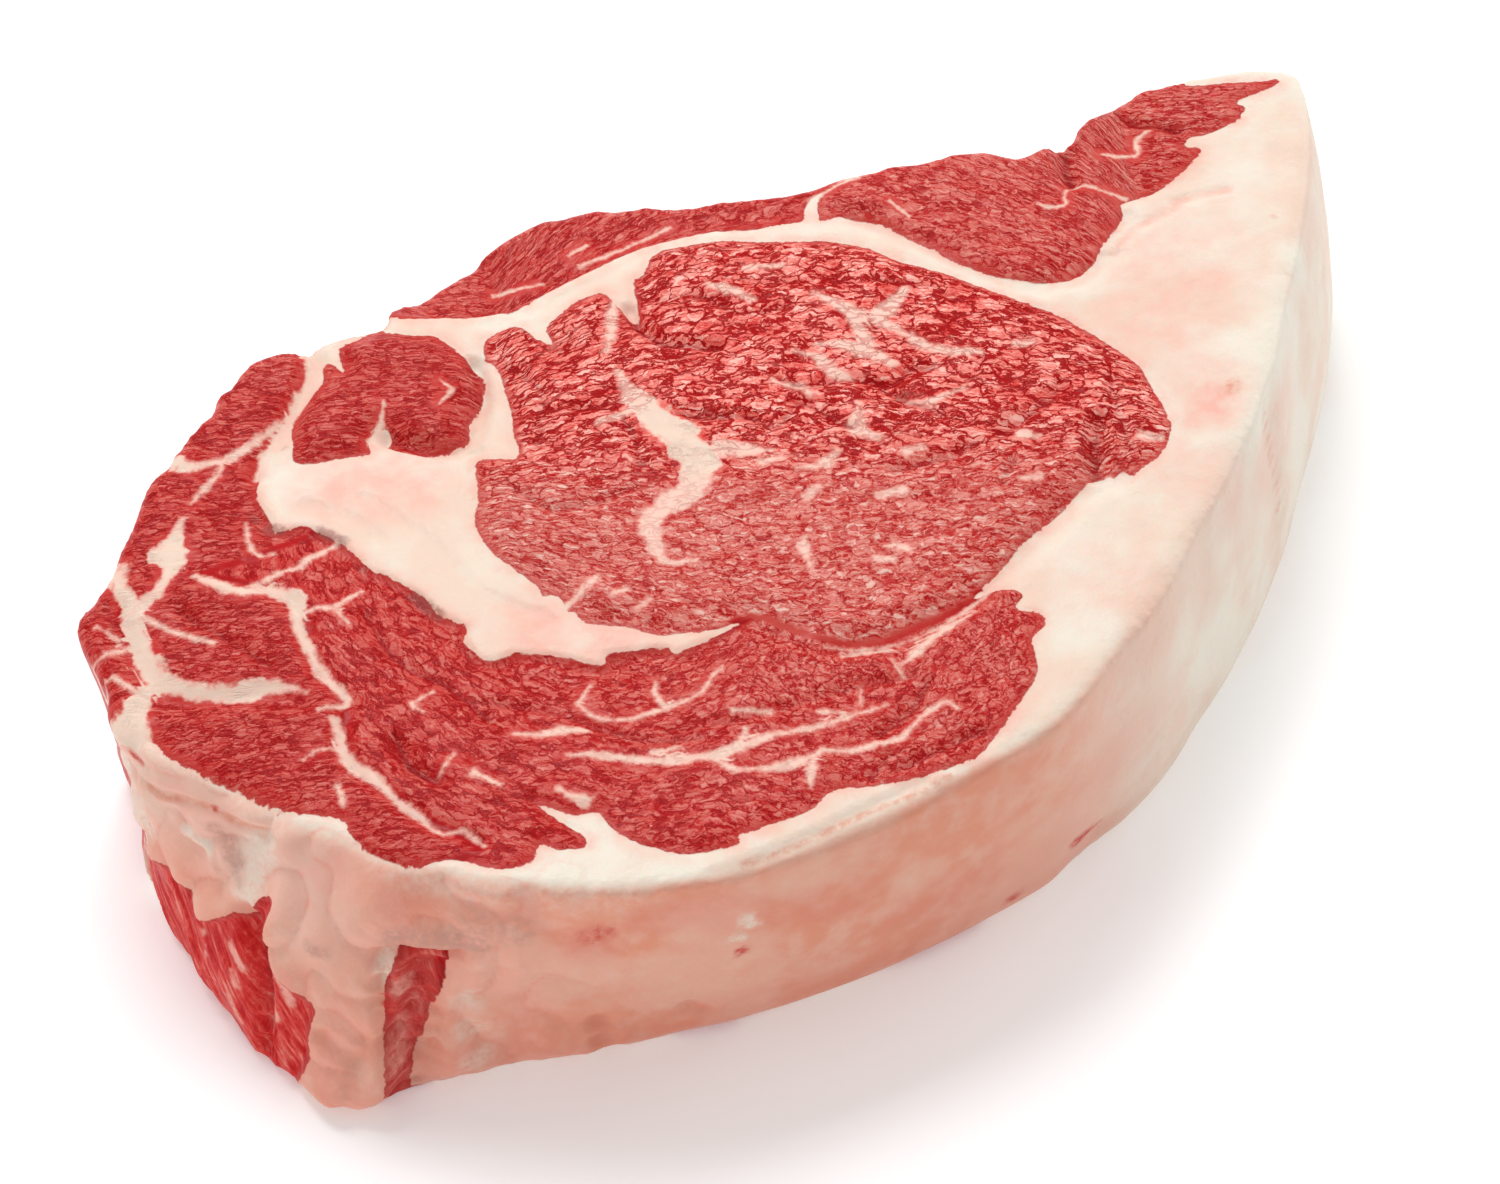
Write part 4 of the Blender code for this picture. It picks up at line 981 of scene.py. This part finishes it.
# A painted highlight along one side of each fine crack, also pale tissue.
tissue_and_painted_glints = step(fine, 0.08, 0.16)
speckles = product(speckle, blended(paleness, 0.12, 0.25))
shade = plus(speckles, product(fold, blended(coarse, 0.05, 0.35)))
shade = plus(shade, product(tissue_and_painted_glints, blended(paleness, 0.1, 0.22)))
shade = minus(shade, product(fine_gaps, blended(paleness, 0.22, 0.3)))
shade = minus(shade, product(valleys, 0.34))
shade = minus(product(shade, core), product(valley, 0.2))
shade = plus(shade, blended(paleness, 0.38, blended(coarse, 0.65, 0.78)))
shade = minus(shade, product(smooth_part, blended(paleness, 0.06, 0.3)))
shade = minus(shade, product(part("plain"), 0.3))
lean_colour = shaded(minus(shade, product(gaps, blended(coarse, 0.35, 0.8))), LEAN_SHADES)
lean_colour = arrow("MULTIPLY", lean_colour, spot(blended(coarse, 0.73, 1.0), 1.0, 1.0))

# Its threads of tissue and its marbling, then the torn lean with its long strands.
threads = cloudy(arrow("MULTIPLY", swaying, (1.1, 0.2, 1.0)), 1.0, 3.0, 0.55, flat=True)
threads = product(step(threads, 0.58, 0.7), step(patchy, 0.45, 0.6), blended(soft, 0.5, 0.2), paleness)
lean_colour = tinted(threads, lean_colour, FAT_PINK)
marbling = tinted(step(in_vein, -0.4, 0.9), FAT_ROSE, tinted(soft, FAT_BEIGE, FAT_VEIN))
lean_colour = tinted(vein_share, lean_colour, marbling)
vein_cracks = product(gaps, vein_share, blended(soft, 0.15, 0.5))
lean_colour = tinted(vein_cracks, lean_colour, LEAN_RED)
torn = part("torn")
torn_down = along_line(place, (ALONG_X, ALONG_Y, -STRAND_SLANT))
torn_over = along_line(place, (ALONG_X, ALONG_Y, STRAND_SLANT))
strands = spot(torn_over, product(torn_down, STRAND_STRETCH))
strands = cloudy(strands, 1.4, 3.0, 0.6, flat=True)
torn_shade = plus(step(strands, 0.3, 0.7, 0.12, 0.46), product(speckle, 0.12))
lean_colour = tinted(torn, lean_colour, shaded(torn_shade, LEAN_SHADES))
lean_colour = tinted(product(torn, step(strands, 0.62, 0.72), 0.5), lean_colour, FAT_PINK)
# Painted shade in the furrows and folds, in deep red.
lean_colour = tinted(painted_crease_shade, lean_colour, CREASE_SHADE_RED)

# Fat: cream and beige, pinker by the lean and where it is marked, and rosy on the outside, with painted
# shade low on the front wall.
blush_and_foot_shade = product(step(near_lean, -3.0, 0.0), step(patchy, 0.3, 0.7, 0.05, 0.6))
# The blush values also carry the painted shade low on the front wall.
blush_and_foot_shade = calc("MAXIMUM", blush_and_foot_shade, product(part("blush_and_foot_shade"), step(patchy, 0.3, 0.7, 1.0, 0.4)))
fat_colour = tinted(step(broad, 0.35, 0.65), FAT_CREAM, FAT_BEIGE)
fat_colour = tinted(blush_and_foot_shade, fat_colour, FAT_PINK)
skin = product(part("skin"), step(patchy, 0.2, 0.6, 0.75, 1.0), step(broad, 0.42, 0.62, 1.0, 0.7))
fat_colour = tinted(skin, fat_colour, tinted(product(part("blush_and_foot_shade"), 0.6), FAT_SKIN, FAT_FLUSH))
folded = part("folded")
fat_colour = tinted(product(folded, step(patchy, 0.48, 0.7), 0.2), fat_colour, FAT_CREAM)
fat_colour = tinted(product(folded, step(patchy, 0.55, 0.3, 0.15, 0.55)), fat_colour, FAT_ROSE)

# The marks have ragged edges too.
ragged = plus(1.0, product(tooth, 3.0))


def marked(base, kind, tint, most):
    """The base with one kind of mark over it, up to the given share."""
    return tinted(step(product(part(kind), ragged), 0.0, 1.0, 0.0, most), base, tint)


fat_colour = marked(fat_colour, "cream", FAT_CREAM, 0.65)
# Painted shade along a fold, under the flap and in the pocket, with greyish fat.
fat_colour = marked(fat_colour, "grey_and_shade", FAT_GREY_SHADE, 0.75)
fat_colour = marked(fat_colour, "brown", FAT_BROWN, 0.7)
colour = tinted(lean_share, fat_colour, lean_colour)
colour = marked(colour, "pale", FAT_PINK, 0.9)
colour = marked(colour, "red", LEAN_RED, 0.9)
colour = marked(colour, "stain", LEAN_STAIN, 0.6)
feed(surface.inputs["Base Color"], colour)

# The fine relief under the wet film, in mm.
lean_height = minus(product(speckle, core, 0.05), product(gaps, 0.1))
fat_height = plus(product(tooth, 0.12), product(minus(patchy, 0.5), 0.4))
height_mm = blended(step(part("lean"), -BORDER, BORDER), fat_height, lean_height)
bump = node_of("Bump", {"Height": height_mm, "Distance": MM, "Strength": 1.0}).outputs[0]
feed(surface.inputs["Normal"], bump)
feed(surface.inputs["Coat Normal"], bump)

feed(surface.inputs["Roughness"], blended(lean_share, FAT_ROUGHNESS, LEAN_ROUGHNESS))
for name, value in WET_FLESH.items():
    surface.inputs[name].default_value = value
steak_mesh.materials.append(beef)

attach(steak, "root")
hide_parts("steak")


# ---- The table, the light and the camera ---------------------------------------------------------
# The steak lies on plain white, under a big soft light from above and behind, with weaker ones at the
# right and left and even light all round. The camera looks down from the front left.

FLOOR_SIZE = 6.0
TABLE_WHITE = {
    "Base Color": (0.93, 0.93, 0.93, 1.0), "Roughness": 0.9, "Specular IOR Level": 0.0,
    "Emission Color": (1.0, 1.0, 1.0, 1.0), "Emission Strength": 0.2,
}
ROOM_LIGHT = 0.5
LIT_SPOT = (0, 0, 20)
LENS = 100.0
CAMERA_PLACE = (-219.403, -360.476, 475.358)
CAMERA_TARGET = (-14.4, -5.4, 20.0)

table = bmesh.new()
bmesh.ops.create_grid(table, x_segments=1, y_segments=1, size=FLOOR_SIZE / 2.0)
floor_mesh = bpy.data.meshes.new("floor")
table.to_mesh(floor_mesh)
table.free()
floor = bpy.data.objects.new("floor", floor_mesh)
bpy.context.scene.collection.objects.link(floor)
white = bpy.data.materials.new("white_table")
white.use_nodes = True
for name, value in TABLE_WHITE.items():
    white.node_tree.nodes["Principled BSDF"].inputs[name].default_value = value
floor_mesh.materials.append(white)

world = bpy.data.worlds.new("white_room")
world.use_nodes = True
room = world.node_tree.nodes["Background"]
room.inputs["Color"].default_value = (1.0, 1.0, 1.0, 1.0)
room.inputs["Strength"].default_value = ROOM_LIGHT
bpy.context.scene.world = world
bpy.context.scene.view_settings.view_transform = "Standard"


def aimed(name, data, position, target):
    """A light or a camera at a position in mm, turned towards a target."""
    thing = bpy.data.objects.new(name, data)
    bpy.context.scene.collection.objects.link(thing)
    position, target = Vector(position) * MM, Vector(target) * MM
    turn = (target - position).to_track_quat("-Z", "Y")
    thing.matrix_world = Matrix.Translation(position) @ turn.to_matrix().to_4x4()
    return thing


def soft_light(name, width, height, power, position):
    """A lamp of the given size in metres and power in watts, turned towards the steak."""
    light = bpy.data.lights.new(name, "AREA")
    light.shape = "RECTANGLE"
    light.size, light.size_y, light.energy = width, height, power
    aimed(name, light, position, LIT_SPOT)


soft_light("key_light", 0.7, 0.5, 10.0, (40, 600, 1120))
soft_light("side_light", 0.8, 0.5, 4.0, (1250, 150, 450))
soft_light("fill_light", 0.8, 0.5, 1.8, (-1200, -200, 300))

camera_data = bpy.data.cameras.new("camera")
camera_data.lens = LENS
bpy.context.scene.camera = aimed("camera", camera_data, CAMERA_PLACE, CAMERA_TARGET)
